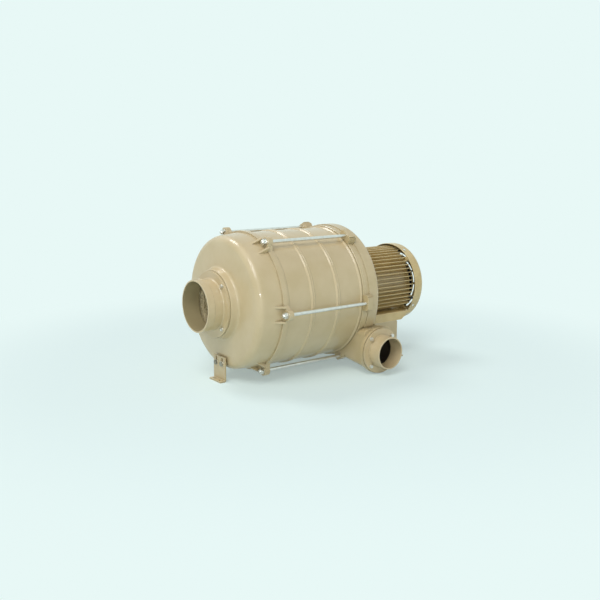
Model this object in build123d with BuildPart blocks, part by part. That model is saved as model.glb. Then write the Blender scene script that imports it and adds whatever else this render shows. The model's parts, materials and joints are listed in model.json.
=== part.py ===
# Multistage centrifugal blower on a flange motor, in millimetres.
# +X runs along the shaft from the inlet to the motor's fan, +Z is up.
# The origin is the centre of the inlet collar's mouth, on the shaft axis.
import os
from math import cos, radians, sin

from build123d import *

os.makedirs("parts", exist_ok=True)

# Stand and general fits
shaft_height = 235.0
slip_clearance = 0.1
press_clearance = 0.02
running_clearance = 0.05

# Inlet collar
inlet_bore_radius = 73.0
inlet_wall = 4.5
inlet_length = 53.0
inlet_bead_length = 22.0
inlet_bead_height = 1.5
inlet_flange_radius = 99.0
inlet_flange_thickness = 6.0
inlet_gasket_thickness = 1.0
inlet_bolt_radius = 88.5
flange_bolt_count = 4
screen_radius = 79.0
screen_chamfer = 3.0
screen_thickness = 2.0
screen_pitch = 14.0
screen_wire = 2.0
gasket_margin = 2.0
flange_bolt_size = 6.0
flange_washer = 1.6
flange_bolt_head = 4.0
flange_bolt_length = 18.0

# Drum
drum_wall = 8.5
drum_radius = 203.5
band_height = 3.5
band_slope = 3.5
band_width = 5.0
ring_length = 94.0
ring_count = 3
rebate_depth = 3.0
rebate_width = 4.0

# Front cover
cover_depth = 99.0
cover_step = 1.5
cover_wall = 7.0
cover_lip_step = 6.5
cover_lip_length = 17.0
cover_shoulder = 44.0
hub_radius = 107.0
hub_front_radius = 102.0
hub_fillet = 9.0
hub_height = 23.0
eye_radius = 66.0

# Rear casing
rear_lip_length = 8.0
rear_neck_step = 7.0
rear_neck_length = 14.0
rear_band_step = 9.5
rear_band_length = 41.0
rear_edge_radius = 9.0
rear_wall = 10.0

# Tie rods and their lugs
tie_rod_count = 6
tie_rod_gap = 7.0
tie_rod_turn = 2.5
tie_rod_diameter = 10.0
tie_rod_thread_in = 16.0
tie_rod_stickout = 15.0
lug_radius = 15.0
lug_half_width = 29.0
front_lug_thickness = 16.0
rear_lug_thickness = 30.0
rear_lug_half_width = 24.0
rear_lug_rise = 10.0
rear_lug_corner = 5.0
rear_lug_slope = 9.0
dimple_diameter = 5.0
dimple_depth = 2.0
dimple_offset = 29.0
rib_thickness = 6.0
rib_offset = 22.0
rib_length = 36.0
rib_rise = 4.0

# Outlet housing and collar
outlet_x_from_joint = 55.0
outlet_drop = 162.5
outlet_face_y = 228.0
outlet_boss_radius = 71.5
outlet_boss_length = 12.0
outlet_bore_radius = 46.0
outlet_wall = 4.0
outlet_flange_radius = 70.0
outlet_flange_thickness = 6.0
outlet_gasket_thickness = 1.5
outlet_collar_length = 41.0
outlet_bolt_radius = 60.5
duct_width = 110.0
duct_height = 125.0
duct_root_width = 62.0
duct_root_height = 100.0
duct_root_y = 100.0
duct_root_drop = 151.0
duct_mouth_drop = 155.0
duct_wall = 8.0
duct_corner = 20.0

# Diaphragms, deflectors and impellers
diaphragm_vane_height = 18.0
diaphragm_vane_count = 9
deflector_gap = 23.0
deflector_thickness = 3.0
deflector_bore_radius = 24.0
impeller_tip_gap = 20.0
impeller_plate = 3.0
impeller_back_gap = 4.0
impeller_outlet_width = 18.0
impeller_shroud_depth = 45.0
impeller_neck_radius = 63.0
impeller_neck_wall = 2.0
impeller_neck_overlap = 2.0
impeller_blade_count = 9
impeller_blade_thickness = 2.0
impeller_hub_radius = 26.0
impeller_hub_length = 30.0

# Shaft and motor rotor
shaft_seat_radius = 14.0
shaft_thread_radius = 10.0
shaft_thread_length = 26.0
spacer_radius = 20.0
drive_journal_radius = 15.0
core_seat_radius = 21.0
rear_journal_radius = 12.5
fan_seat_radius = 11.0
rotor_core_radius = 54.5
key_width = 8.0
key_height = 7.0
key_depth = 4.0

# Bearings, by their catalogue sizes
drive_bearing_outer_radius = 31.0
drive_bearing_width = 16.0
rear_bearing_outer_radius = 26.0
rear_bearing_width = 15.0
bearing_split = 0.5

# Motor frame
motor_flange_thickness = 9.0
motor_spigot_radius = 90.0
motor_spigot_depth = 5.0
motor_bolt_radius = 107.5
motor_bolt_diameter = 12.0
motor_bolt_head = 7.5
frame_length = 226.0
frame_radius = 106.0
frame_wall = 13.0
fin_height = 19.0
fin_thickness = 3.0
fin_step = 6.5
fin_lowest_angle = -39.0
motor_foot_clearance = 4.0
motor_foot_root_y = 60.0
motor_foot_overhang = 9.0
motor_foot_wall = 8.0
motor_foot_bolt_y = 85.0
motor_foot_bolt_pitch = 70.0
motor_foot_bolt_diameter = 10.0
motor_foot_bolt_depth = 13.0
skirt_top = 82.0
skirt_slant = 40.0
stator_bore_radius = 55.2
stator_length = 120.0
winding_reach = 26.0
rotor_core_length = 120.0

# Fan and fan cover
cover_gap = 3.0
fan_cover_margin = 7.0
fan_cover_wall = 2.0
fan_cover_depth = 43.0
fan_cover_edge = 16.0
cover_screw_diameter = 5.0
cover_screw_reach = 8.0
arm_angles = (30, 120, 210, 300)
cooling_fan_gap = 18.0
cooling_fan_blades = 7
cooling_fan_depth = 24.0
grille_slot_width = 6.0
grille_hub_radius = 26.0
grille_ring_pitch = 13.0

# Terminal box on the far side
terminal_x = 600.0
terminal_size = 100.0
terminal_height = 48.0
terminal_wall = 4.0
terminal_lid_thickness = 7.0
gland_radius = 12.0

# Feet
foot_plate = 5.0
front_foot_width = 62.0
front_foot_top = 160.0
front_foot_toe = 21.0
front_foot_slot_pitch = 32.0
front_foot_slot_width = 9.0
front_foot_slot_travel = 15.0
front_foot_bolt_drop = 181.0
foot_hole_diameter = 9.0
pedestal_start = 602.0
pedestal_end = 700.0
pedestal_toe = 22.0
pedestal_toe_overhang = 12.0
pedestal_sheet = 5.0

# Radii that follow the drum and the motor's barrel
band_radius = drum_radius + band_height
cover_radius = drum_radius + cover_step
cover_lip_radius = drum_radius + cover_lip_step
rear_neck_radius = drum_radius + rear_neck_step
rear_band_radius = drum_radius + rear_band_step
tie_rod_circle = cover_lip_radius + tie_rod_diameter / 2 + tie_rod_gap
rib_top = tie_rod_circle + rib_rise
rear_lug_top = tie_rod_circle + rear_lug_rise
dimple_turn = dimple_offset / radians(rear_neck_radius)
drum_bore = drum_radius - drum_wall
rebate_radius = drum_bore + rebate_width
deflector_radius = drum_bore - deflector_gap
impeller_radius = drum_bore - impeller_tip_gap
frame_bore_radius = frame_radius - frame_wall
fin_radius = frame_radius + fin_height
motor_flange_radius = fin_radius
motor_foot_height = frame_radius + motor_foot_clearance
motor_foot_half_width = frame_radius + motor_foot_overhang
fan_cover_radius = fin_radius + fan_cover_margin
cooling_fan_radius = fan_cover_radius - fan_cover_wall - cooling_fan_gap

# Stations along the shaft
flange_end = inlet_length + inlet_flange_thickness
screen_x = flange_end - screen_thickness
hub_front = flange_end + inlet_gasket_thickness
cover_face = hub_front + hub_height
first_joint = cover_face + cover_depth
joints = [first_joint + k * ring_length for k in range(ring_count + 1)]
rear_joint = joints[-1]
rear_face = rear_joint + rear_lip_length + rear_neck_length + rear_band_length
outlet_x = rear_joint + outlet_x_from_joint
frame_start = rear_face + motor_flange_thickness
frame_end = frame_start + frame_length
deflector_reach = rebate_depth + diaphragm_vane_height + deflector_thickness
impeller_backs = [joint - deflector_reach - impeller_back_gap for joint in joints]
drive_bearing_x = frame_start + 6.0
rear_bearing_x = frame_end - 14.0
core_start = frame_start + 0.5 * (frame_length - rotor_core_length)
stator_start = frame_start + 0.5 * (frame_length - stator_length)
fan_start = frame_end + 8.0
fan_cover_start = frame_end + cover_gap
fan_cover_end = fan_cover_start + fan_cover_depth
pedestal_middle = (pedestal_start + pedestal_end) / 2
terminal_seat_y = fin_radius + 1.0
terminal_pad_x = terminal_x + 12.0
lug_angles = [tie_rod_turn - 90.0 + k * 360.0 / tie_rod_count for k in range(tie_rod_count)]


def save(part, name):
    part.label = name
    export_step(part, f"parts/{name}.step")


def radial_plane(angle, sideways=0.0):
    # A plane through the shaft axis, moved sideways: local x is +X and local y
    # points outwards at the angle from +Z towards -Y.
    across = (-cos(radians(angle)), -sin(radians(angle)))
    origin = (0, across[0] * sideways, across[1] * sideways)
    return Plane(origin=origin, x_dir=(1, 0, 0), z_dir=(0, *across))


def outward_plane(angle, distance):
    # A plane that faces away from the shaft at the angle from +Z towards -Y; local x is +X.
    outward = (-sin(radians(angle)), cos(radians(angle)))
    origin = (0, outward[0] * distance, outward[1] * distance)
    return Plane(origin=origin, x_dir=(1, 0, 0), z_dir=(0, *outward))


def turned(points):
    # A solid of revolution about the shaft, from (x, radius) points.
    with BuildPart() as body:
        with BuildSketch(Plane.XZ):
            with BuildLine():
                Polyline(*points, close=True)
            make_face()
        revolve(axis=Axis.X)
    return body.part


def hex_bolt(size, length, head_height):
    # Hexagon bolt with its head's underside on the XY plane and its shank running to -Z.
    with BuildPart() as bolt:
        with BuildSketch():
            RegularPolygon(size * 0.92, 6)
        extrude(amount=head_height)
        with BuildSketch():
            Circle(size / 2)
        extrude(amount=-length)
    return bolt.part


def hex_nut(size, height):
    with BuildPart() as nut:
        with BuildSketch():
            RegularPolygon(size * 0.92, 6)
            Circle(size / 2, mode=Mode.SUBTRACT)
        extrude(amount=height)
    return nut.part


def washer(size, thickness):
    with BuildPart() as ring:
        with BuildSketch():
            Circle(size)
            Circle(size / 2 + 0.5, mode=Mode.SUBTRACT)
        extrude(amount=thickness)
    return ring.part


def blade_sketch(inner, outer, sweep_angle, thickness, count, plane):
    # Circular-arc blades that lean back from the shaft's turning direction.
    middle = 0.5 * (inner + outer)
    middle_angle = radians(sweep_angle * 0.38)
    tip_angle = radians(sweep_angle)
    with BuildSketch() as one_blade:
        with BuildLine():
            ThreePointArc(
                (inner, 0),
                (middle * cos(middle_angle), middle * sin(middle_angle)),
                (outer * cos(tip_angle), outer * sin(tip_angle)),
            )
        trace(line_width=thickness)
    with BuildSketch(plane) as blades:
        with PolarLocations(0, count):
            add(one_blade.sketch)
    return blades.sketch


# Inlet collar
bead_radius = inlet_bore_radius + inlet_wall
with BuildPart() as inlet_collar:
    with BuildSketch(Plane.XZ):
        with BuildLine():
            Polyline(
                (0, inlet_bore_radius),
                (0, bead_radius),
                (inlet_bead_length, bead_radius),
                (inlet_bead_length + inlet_bead_height, bead_radius - inlet_bead_height),
                (inlet_length, bead_radius - inlet_bead_height),
                (inlet_length, inlet_flange_radius),
                (flange_end, inlet_flange_radius),
                (flange_end, screen_radius),
                (screen_x, screen_radius),
                (screen_x, inlet_bore_radius + screen_chamfer),
                (screen_x - screen_chamfer, inlet_bore_radius),
                close=True,
            )
        make_face()
        fillet(vertices().sort_by_distance((inlet_length, bead_radius))[0], 5.0)
        fillet(vertices().sort_by_distance((0, bead_radius))[0], 1.5)
    revolve(axis=Axis.X)
    with BuildSketch(Plane.YZ.offset(flange_end)):
        with PolarLocations(inlet_bolt_radius, flange_bolt_count, start_angle=45):
            Circle(flange_bolt_size / 2 + 0.5)
    extrude(amount=-inlet_flange_thickness, mode=Mode.SUBTRACT)
save(inlet_collar.part, "inlet_collar")

with BuildPart() as inlet_gasket:
    with BuildSketch(Plane.YZ.offset(flange_end)):
        Circle(inlet_flange_radius - 1)
        Circle(inlet_bore_radius + gasket_margin, mode=Mode.SUBTRACT)
        with PolarLocations(inlet_bolt_radius, flange_bolt_count, start_angle=45):
            Circle(flange_bolt_size / 2 + 0.5, mode=Mode.SUBTRACT)
    extrude(amount=inlet_gasket_thickness)
save(inlet_gasket.part, "inlet_gasket")

# Guard screen, a rim with crossed bars
with BuildPart() as inlet_screen:
    with BuildSketch(Plane.YZ.offset(screen_x)):
        Circle(screen_radius - slip_clearance)
        Circle(inlet_bore_radius - 2, mode=Mode.SUBTRACT)
        bar_count = int(inlet_bore_radius // screen_pitch)
        for bar in range(-bar_count, bar_count + 1):
            reach = inlet_bore_radius**2 - (bar * screen_pitch) ** 2
            if reach > 0:
                with Locations((bar * screen_pitch, 0)):
                    Rectangle(screen_wire, 2 * reach**0.5)
                with Locations((0, bar * screen_pitch)):
                    Rectangle(2 * reach**0.5, screen_wire)
    extrude(amount=screen_thickness)
save(inlet_screen.part, "inlet_screen")

# Inlet flange bolts and washers, heads towards the mouth
inlet_plane = Plane(origin=(inlet_length, 0, 0), x_dir=(0, 1, 0), z_dir=(-1, 0, 0))
with BuildPart() as inlet_washers:
    with Locations(inlet_plane):
        with PolarLocations(inlet_bolt_radius, flange_bolt_count, start_angle=45):
            add(washer(flange_bolt_size, flange_washer))
save(inlet_washers.part, "inlet_washers")

with BuildPart() as inlet_bolts:
    with Locations(inlet_plane.offset(flange_washer)):
        with PolarLocations(inlet_bolt_radius, flange_bolt_count, start_angle=45):
            add(hex_bolt(flange_bolt_size, flange_bolt_length + flange_washer, flange_bolt_head))
save(inlet_bolts.part, "inlet_bolts")

# Front cover: a domed casting with the inlet hub, rod lugs and their ribs
cover_inside = cover_face + cover_wall
cover_inner_radius = cover_radius - cover_wall
lip_start = first_joint - cover_lip_length
lug_start = first_joint - front_lug_thickness
front_bolt_size = 8.0
front_bolt_length = 18.0
with BuildPart() as front_cover:
    with BuildSketch(Plane.XZ):
        with BuildLine():
            Polyline(
                (hub_front, eye_radius),
                (hub_front, hub_front_radius),
                (cover_face, hub_radius),
                (cover_face, cover_radius),
                (lip_start, cover_radius),
                (lip_start, cover_lip_radius),
                (first_joint, cover_lip_radius),
                (first_joint, rebate_radius),
                (first_joint - rebate_depth, rebate_radius),
                (first_joint - rebate_depth, drum_bore),
                (lip_start, drum_bore),
                (cover_inside + cover_shoulder, cover_inner_radius),
                (cover_inside, cover_inner_radius),
                (cover_inside, eye_radius),
                close=True,
            )
        make_face()
        fillet(vertices().sort_by_distance((cover_face, cover_radius))[0], cover_shoulder)
        inner_shoulder = vertices().sort_by_distance((cover_inside, cover_inner_radius))[0]
        fillet(inner_shoulder, cover_shoulder - cover_wall)
        fillet(vertices().sort_by_distance((cover_face, hub_radius))[0], hub_fillet)
        fillet(vertices().sort_by_distance((hub_front, hub_front_radius))[0], 3.0)
        chamfer(vertices().sort_by_distance((hub_front, eye_radius))[0], inlet_bore_radius - eye_radius)
        chamfer(vertices().sort_by_distance((first_joint, cover_lip_radius))[0], 1.2)
    revolve(axis=Axis.X)
    with BuildSketch(Plane.YZ.offset(lug_start)):
        with PolarLocations(tie_rod_circle, tie_rod_count, start_angle=tie_rod_turn):
            Circle(lug_radius)
        with PolarLocations(0, tie_rod_count, start_angle=tie_rod_turn):
            Polygon(
                (cover_radius - 3, -lug_half_width),
                (tie_rod_circle, -lug_radius),
                (tie_rod_circle, lug_radius),
                (cover_radius - 3, lug_half_width),
                align=None,
            )
    extrude(amount=front_lug_thickness)
    for angle in lug_angles:
        for side in (-rib_offset, rib_offset):
            with BuildSketch(radial_plane(angle, side)):
                with BuildLine():
                    Polyline(
                        (lug_start - rib_length, cover_radius - 5),
                        (lug_start, rib_top - 6),
                        (lug_start + 1, rib_top - 6),
                        (lug_start + 1, cover_radius - 5),
                        close=True,
                    )
                make_face()
            extrude(amount=rib_thickness / 2, both=True)
    with BuildSketch(Plane.YZ.offset(first_joint)):
        Circle(rebate_radius)
    extrude(amount=-rebate_depth, mode=Mode.SUBTRACT)
    with BuildSketch(Plane.YZ.offset(first_joint)):
        with PolarLocations(tie_rod_circle, tie_rod_count, start_angle=tie_rod_turn):
            Circle(tie_rod_diameter / 2 + 0.5)
    extrude(amount=-front_lug_thickness - rib_length, mode=Mode.SUBTRACT)
    with BuildSketch(Plane.YZ.offset(hub_front)):
        with PolarLocations(inlet_bolt_radius, flange_bolt_count, start_angle=45):
            Circle(flange_bolt_size / 2)
    bolt_depth = flange_bolt_length - inlet_flange_thickness - inlet_gasket_thickness
    extrude(amount=bolt_depth, mode=Mode.SUBTRACT)
    foot_bolt_places = [(side * front_foot_slot_pitch / 2, -front_foot_bolt_drop) for side in (-1, 1)]
    with BuildSketch(Plane.YZ.offset(cover_face)):
        with Locations(*foot_bolt_places):
            Circle(front_bolt_size)
    extrude(amount=front_bolt_length - foot_plate)
    with BuildSketch(Plane.YZ.offset(cover_face)):
        with Locations(*foot_bolt_places):
            Circle(front_bolt_size / 2)
    extrude(amount=front_bolt_length - foot_plate, mode=Mode.SUBTRACT)
save(front_cover.part, "front_cover")

# Stage rings, clamped between the cover and the rear casing
stage_profile = [
    (0, rebate_radius),
    (0, band_radius - 1),
    (1, band_radius),
    (band_width, band_radius),
    (band_width + band_slope, drum_radius),
    (ring_length - band_width - band_slope, drum_radius),
    (ring_length - band_width, band_radius),
    (ring_length - 1, band_radius),
    (ring_length, band_radius - 1),
    (ring_length, rebate_radius),
    (ring_length - rebate_depth, rebate_radius),
    (ring_length - rebate_depth, drum_bore),
    (rebate_depth, drum_bore),
    (rebate_depth, rebate_radius),
]
for stage, joint in enumerate(joints[:-1], start=1):
    save(turned([(joint + x, r) for x, r in stage_profile]), f"stage_ring_{stage}")

# Diaphragms: the wall between two stages, with return vanes that bring the air back to the next eye
vane_end_radius = deflector_radius - 2.0
for stage, joint in enumerate(joints[:-1], start=1):
    vane_face = joint - rebate_depth
    with BuildPart() as diaphragm:
        with BuildSketch(Plane.YZ.offset(vane_face)):
            Circle(rebate_radius - slip_clearance)
            Circle(eye_radius, mode=Mode.SUBTRACT)
        extrude(amount=2 * rebate_depth)
        vanes = blade_sketch(
            eye_radius + 6, vane_end_radius, -58, 4.0, diaphragm_vane_count, Plane.YZ.offset(vane_face)
        )
        extrude(vanes, amount=diaphragm_vane_height, dir=(-1, 0, 0))
    save(diaphragm.part, f"diaphragm_{stage}")

    # Flat disc on the vanes' free edges, with a running gap round the shaft's spacer
    with BuildPart() as deflector:
        with BuildSketch(Plane.YZ.offset(vane_face - diaphragm_vane_height)):
            Circle(deflector_radius)
            Circle(deflector_bore_radius, mode=Mode.SUBTRACT)
        extrude(amount=-deflector_thickness)
    save(deflector.part, f"deflector_{stage}")

# Rear casing: collecting chamber, tangential outlet duct and the motor's flange seat
chamber_end = rear_face - rear_wall
neck_start = rear_joint + rear_lip_length
rear_band_start = neck_start + rear_neck_length
boss_start = outlet_face_y - outlet_boss_length


def duct_section(y, width, height, drop, inset):
    # Rounded section of the duct, flush with the joint at the front, seen along -Y.
    centre = (rear_joint + width / 2, y, -drop)
    with BuildSketch(Plane(origin=centre, x_dir=(1, 0, 0), z_dir=(0, -1, 0))) as section:
        RectangleRounded(width - 2 * inset, height - 2 * inset, duct_corner - inset)
    return section.sketch


outlet_plane = Plane(origin=(outlet_x, -outlet_face_y, -outlet_drop), x_dir=(1, 0, 0), z_dir=(0, -1, 0))
with BuildPart() as rear_casing:
    with BuildSketch(Plane.XZ):
        with BuildLine():
            Polyline(
                (rear_joint, rebate_radius),
                (rear_joint, cover_lip_radius),
                (neck_start, cover_lip_radius),
                (neck_start, rear_neck_radius),
                (rear_band_start, rear_neck_radius),
                (rear_band_start, rear_band_radius),
                (rear_face, rear_band_radius),
                (rear_face, 0),
                (rear_joint, 0),
                close=True,
            )
        make_face()
        fillet(vertices().sort_by_distance((rear_face, rear_band_radius))[0], rear_edge_radius)
        chamfer(vertices().sort_by_distance((rear_joint, cover_lip_radius))[0], 1.2)
    revolve(axis=Axis.X)
    duct_mouth = duct_section(-boss_start - 1, duct_width, duct_height, duct_mouth_drop, 0)
    duct_root = duct_section(-duct_root_y, duct_root_width, duct_root_height, duct_root_drop, 0)
    loft([duct_mouth.faces()[0], duct_root.faces()[0]])
    with BuildSketch(outlet_plane):
        Circle(outlet_boss_radius)
    extrude(amount=-outlet_boss_length)
    for angle in lug_angles:
        with BuildSketch(radial_plane(angle)):
            Polygon(
                (rear_joint, rear_neck_radius - 3),
                (rear_joint, rear_lug_top),
                (rear_joint + rear_lug_thickness - rear_lug_slope, rear_lug_top),
                (rear_joint + rear_lug_thickness, rear_lug_top - rear_lug_slope),
                (rear_joint + rear_lug_thickness, rear_neck_radius - 3),
                align=None,
            )
        extrude(amount=rear_lug_half_width - rear_lug_corner, both=True)
        with BuildSketch(radial_plane(angle)):
            Polygon(
                (rear_joint, rear_neck_radius - 3),
                (rear_joint, rear_lug_top - rear_lug_corner),
                (rear_joint + rear_lug_thickness - rear_lug_slope, rear_lug_top - rear_lug_corner),
                (rear_joint + rear_lug_thickness - 4, rear_lug_top - rear_lug_slope),
                (rear_joint + rear_lug_thickness - 4, rear_neck_radius - 3),
                align=None,
            )
        extrude(amount=rear_lug_half_width, both=True)
        with BuildSketch(outward_plane(angle + dimple_turn, rear_neck_radius)):
            with Locations((rear_joint + rear_lip_length + rear_neck_length / 2, 0)):
                Circle(dimple_diameter / 2)
        extrude(amount=-dimple_depth, mode=Mode.SUBTRACT)
    with BuildSketch(Plane.YZ.offset(rear_joint)):
        Circle(rebate_radius - slip_clearance)
        Circle(drum_bore, mode=Mode.SUBTRACT)
    extrude(amount=-rebate_depth)
    with BuildSketch(Plane.YZ.offset(rear_joint)):
        Circle(drum_bore)
    extrude(amount=chamber_end - rear_joint, mode=Mode.SUBTRACT)
    with BuildSketch(Plane.YZ.offset(chamber_end)):
        Circle(motor_spigot_radius)
        with PolarLocations(motor_bolt_radius, 4, start_angle=45):
            Circle(motor_bolt_diameter / 2 + 0.5)
    extrude(amount=rear_wall, mode=Mode.SUBTRACT)
    with BuildSketch(Plane.YZ.offset(rear_joint)):
        with PolarLocations(tie_rod_circle, tie_rod_count, start_angle=tie_rod_turn):
            Circle(tie_rod_diameter / 2)
    extrude(amount=tie_rod_thread_in, mode=Mode.SUBTRACT)
    passage_mouth = duct_section(-boss_start, duct_width, duct_height, duct_mouth_drop, duct_wall)
    passage_y = 10 - duct_root_y
    passage_root = duct_section(passage_y, duct_root_width, duct_root_height, duct_root_drop, duct_wall)
    loft([passage_mouth.faces()[0], passage_root.faces()[0]], mode=Mode.SUBTRACT)
    with BuildSketch(outlet_plane):
        Circle(outlet_bore_radius)
    extrude(amount=-outlet_boss_length - 1, mode=Mode.SUBTRACT)
    with BuildSketch(outlet_plane):
        with PolarLocations(outlet_bolt_radius, flange_bolt_count, start_angle=45):
            Circle(flange_bolt_size / 2)
    extrude(amount=-outlet_boss_length, mode=Mode.SUBTRACT)
save(rear_casing.part, "rear_casing")

# Outlet collar with its gasket, bolts and washers
outlet_tube_radius = outlet_bore_radius + outlet_wall
with BuildPart() as outlet_gasket:
    with BuildSketch(outlet_plane):
        Circle(outlet_flange_radius - 1)
        Circle(outlet_bore_radius + gasket_margin, mode=Mode.SUBTRACT)
        with PolarLocations(outlet_bolt_radius, flange_bolt_count, start_angle=45):
            Circle(flange_bolt_size / 2 + 0.5, mode=Mode.SUBTRACT)
    extrude(amount=outlet_gasket_thickness)
save(outlet_gasket.part, "outlet_gasket")

outlet_seat = outlet_plane.offset(outlet_gasket_thickness)
outlet_front = outlet_seat.offset(outlet_flange_thickness)
with BuildPart() as outlet_collar:
    with BuildSketch(outlet_seat):
        Circle(outlet_flange_radius)
    extrude(amount=outlet_flange_thickness)
    with BuildSketch(outlet_front):
        Circle(outlet_tube_radius)
    extrude(amount=outlet_collar_length)
    round_edges = outlet_collar.edges().filter_by(GeomType.CIRCLE)
    tube_edges = round_edges.filter_by(lambda edge: abs(edge.radius - outlet_tube_radius) < 0.01)
    fillet(tube_edges.sort_by(Axis.Y)[-1], 2.0)
    fillet(tube_edges.sort_by(Axis.Y)[0], 1.5)
    with BuildSketch(outlet_seat):
        Circle(outlet_bore_radius)
    extrude(amount=outlet_flange_thickness + outlet_collar_length, mode=Mode.SUBTRACT)
    with BuildSketch(outlet_seat):
        with PolarLocations(outlet_bolt_radius, flange_bolt_count, start_angle=45):
            Circle(flange_bolt_size / 2 + 0.5)
    extrude(amount=outlet_flange_thickness, mode=Mode.SUBTRACT)
save(outlet_collar.part, "outlet_collar")

with BuildPart() as outlet_washers:
    with Locations(outlet_front):
        with PolarLocations(outlet_bolt_radius, flange_bolt_count, start_angle=45):
            add(washer(flange_bolt_size, flange_washer))
save(outlet_washers.part, "outlet_washers")

outlet_bolt_shank = flange_washer + outlet_flange_thickness + outlet_gasket_thickness + outlet_boss_length - 1
with BuildPart() as outlet_bolts:
    with Locations(outlet_front.offset(flange_washer)):
        with PolarLocations(outlet_bolt_radius, flange_bolt_count, start_angle=45):
            add(hex_bolt(flange_bolt_size, outlet_bolt_shank, flange_bolt_head))
save(outlet_bolts.part, "outlet_bolts")

# Tie rods, screwed into the rear lugs and nutted in front of the cover's lugs
rod_washer = 2.0
rod_nut = 8.0
with BuildPart() as tie_rods:
    with BuildSketch(Plane.YZ.offset(lug_start - tie_rod_stickout)):
        with PolarLocations(tie_rod_circle, tie_rod_count, start_angle=tie_rod_turn):
            Circle(tie_rod_diameter / 2)
    extrude(amount=rear_joint + tie_rod_thread_in - lug_start + tie_rod_stickout)
save(tie_rods.part, "tie_rods")

nut_plane = Plane(origin=(lug_start, 0, 0), x_dir=(0, 1, 0), z_dir=(-1, 0, 0))
with BuildPart() as tie_rod_washers:
    with Locations(nut_plane):
        with PolarLocations(tie_rod_circle, tie_rod_count, start_angle=-tie_rod_turn):
            add(washer(tie_rod_diameter, rod_washer))
save(tie_rod_washers.part, "tie_rod_washers")

with BuildPart() as tie_rod_nuts:
    with Locations(nut_plane.offset(rod_washer)):
        with PolarLocations(tie_rod_circle, tie_rod_count, start_angle=-tie_rod_turn):
            add(hex_nut(tie_rod_diameter, rod_nut))
save(tie_rod_nuts.part, "tie_rod_nuts")

# Closed impeller: back plate with hub, blades under a conical shroud, and the eye's neck
shroud_rim = impeller_outlet_width
stage_gap = deflector_reach + impeller_back_gap + impeller_plate + rebate_depth
neck_end = ring_length - stage_gap + impeller_neck_overlap
with BuildPart() as impeller_form:
    blades = blade_sketch(
        impeller_neck_radius - 2,
        impeller_radius - 0.5,
        52,
        impeller_blade_thickness,
        impeller_blade_count,
        Plane.YZ,
    )
    extrude(blades, amount=impeller_shroud_depth + 4, dir=(-1, 0, 0))
    with BuildSketch(Plane.XZ):
        with BuildLine():
            Polyline(
                (1, impeller_hub_radius),
                (1, impeller_radius),
                (-shroud_rim - 0.5, impeller_radius),
                (-impeller_shroud_depth - 0.5, impeller_neck_radius),
                (-impeller_shroud_depth - 0.5, impeller_hub_radius),
                close=True,
            )
        make_face()
    revolve(axis=Axis.X, mode=Mode.INTERSECT)
    with BuildSketch(Plane.XZ):
        with BuildLine():
            Polyline(
                (0, shaft_seat_radius + press_clearance),
                (impeller_plate, shaft_seat_radius + press_clearance),
                (impeller_plate, impeller_radius),
                (0, impeller_radius),
                (0, impeller_hub_radius + 14),
                (-12, impeller_hub_radius),
                (-impeller_hub_length, impeller_hub_radius - 3),
                (-impeller_hub_length, shaft_seat_radius + press_clearance),
                close=True,
            )
        make_face()
    revolve(axis=Axis.X)
    with BuildSketch(Plane.XZ):
        with BuildLine():
            Polyline(
                (-shroud_rim, impeller_radius),
                (-shroud_rim - impeller_neck_wall, impeller_radius),
                (-impeller_shroud_depth - impeller_neck_wall, impeller_neck_radius),
                (-neck_end, impeller_neck_radius),
                (-neck_end, impeller_neck_radius - impeller_neck_wall),
                (-impeller_shroud_depth, impeller_neck_radius - impeller_neck_wall),
                close=True,
            )
        make_face()
    revolve(axis=Axis.X)
keyway_radius = shaft_seat_radius - key_depth + key_height + slip_clearance
hub_reach = impeller_plate + impeller_hub_length
for stage, back in enumerate(impeller_backs, start=1):
    with BuildPart() as impeller:
        with Locations((back - impeller_plate, 0, 0)):
            add(impeller_form.part)
        with BuildSketch(Plane.XZ.offset(-key_width / 2)):
            with BuildLine():
                Polyline(
                    (back + 1, 0),
                    (back + 1, keyway_radius),
                    (back - hub_reach - 1, keyway_radius),
                    (back - hub_reach - 1, 0),
                    close=True,
                )
            make_face()
        extrude(amount=key_width, mode=Mode.SUBTRACT)
    save(impeller.part, f"impeller_{stage}")

# Spacers on the shaft, each from one impeller to the next, and the last to the shaft's shoulder
nose_face = impeller_backs[0] - hub_reach
thread_end = nose_face + 2.0
shoulder_x = chamber_end - 8.0
spacer_spans = [(back, following - hub_reach) for back, following in zip(impeller_backs, impeller_backs[1:])]
spacer_spans.append((impeller_backs[-1], shoulder_x))
with BuildPart() as shaft_spacers:
    for start, end in spacer_spans:
        with BuildSketch(Plane.YZ.offset(start)):
            Circle(spacer_radius)
            Circle(shaft_seat_radius + press_clearance, mode=Mode.SUBTRACT)
            with Locations((0, shaft_seat_radius)):
                Rectangle(key_width, 2 * (key_height - key_depth + slip_clearance), mode=Mode.SUBTRACT)
        extrude(amount=end - start)
save(shaft_spacers.part, "shaft_spacers")

with BuildPart() as shaft_key:
    with BuildSketch(Plane.XY.offset(shaft_seat_radius - key_depth)):
        with Locations(((thread_end + impeller_backs[-1]) / 2, 0)):
            Rectangle(impeller_backs[-1] - thread_end, key_width)
    extrude(amount=key_height)
save(shaft_key.part, "shaft_key")

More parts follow.
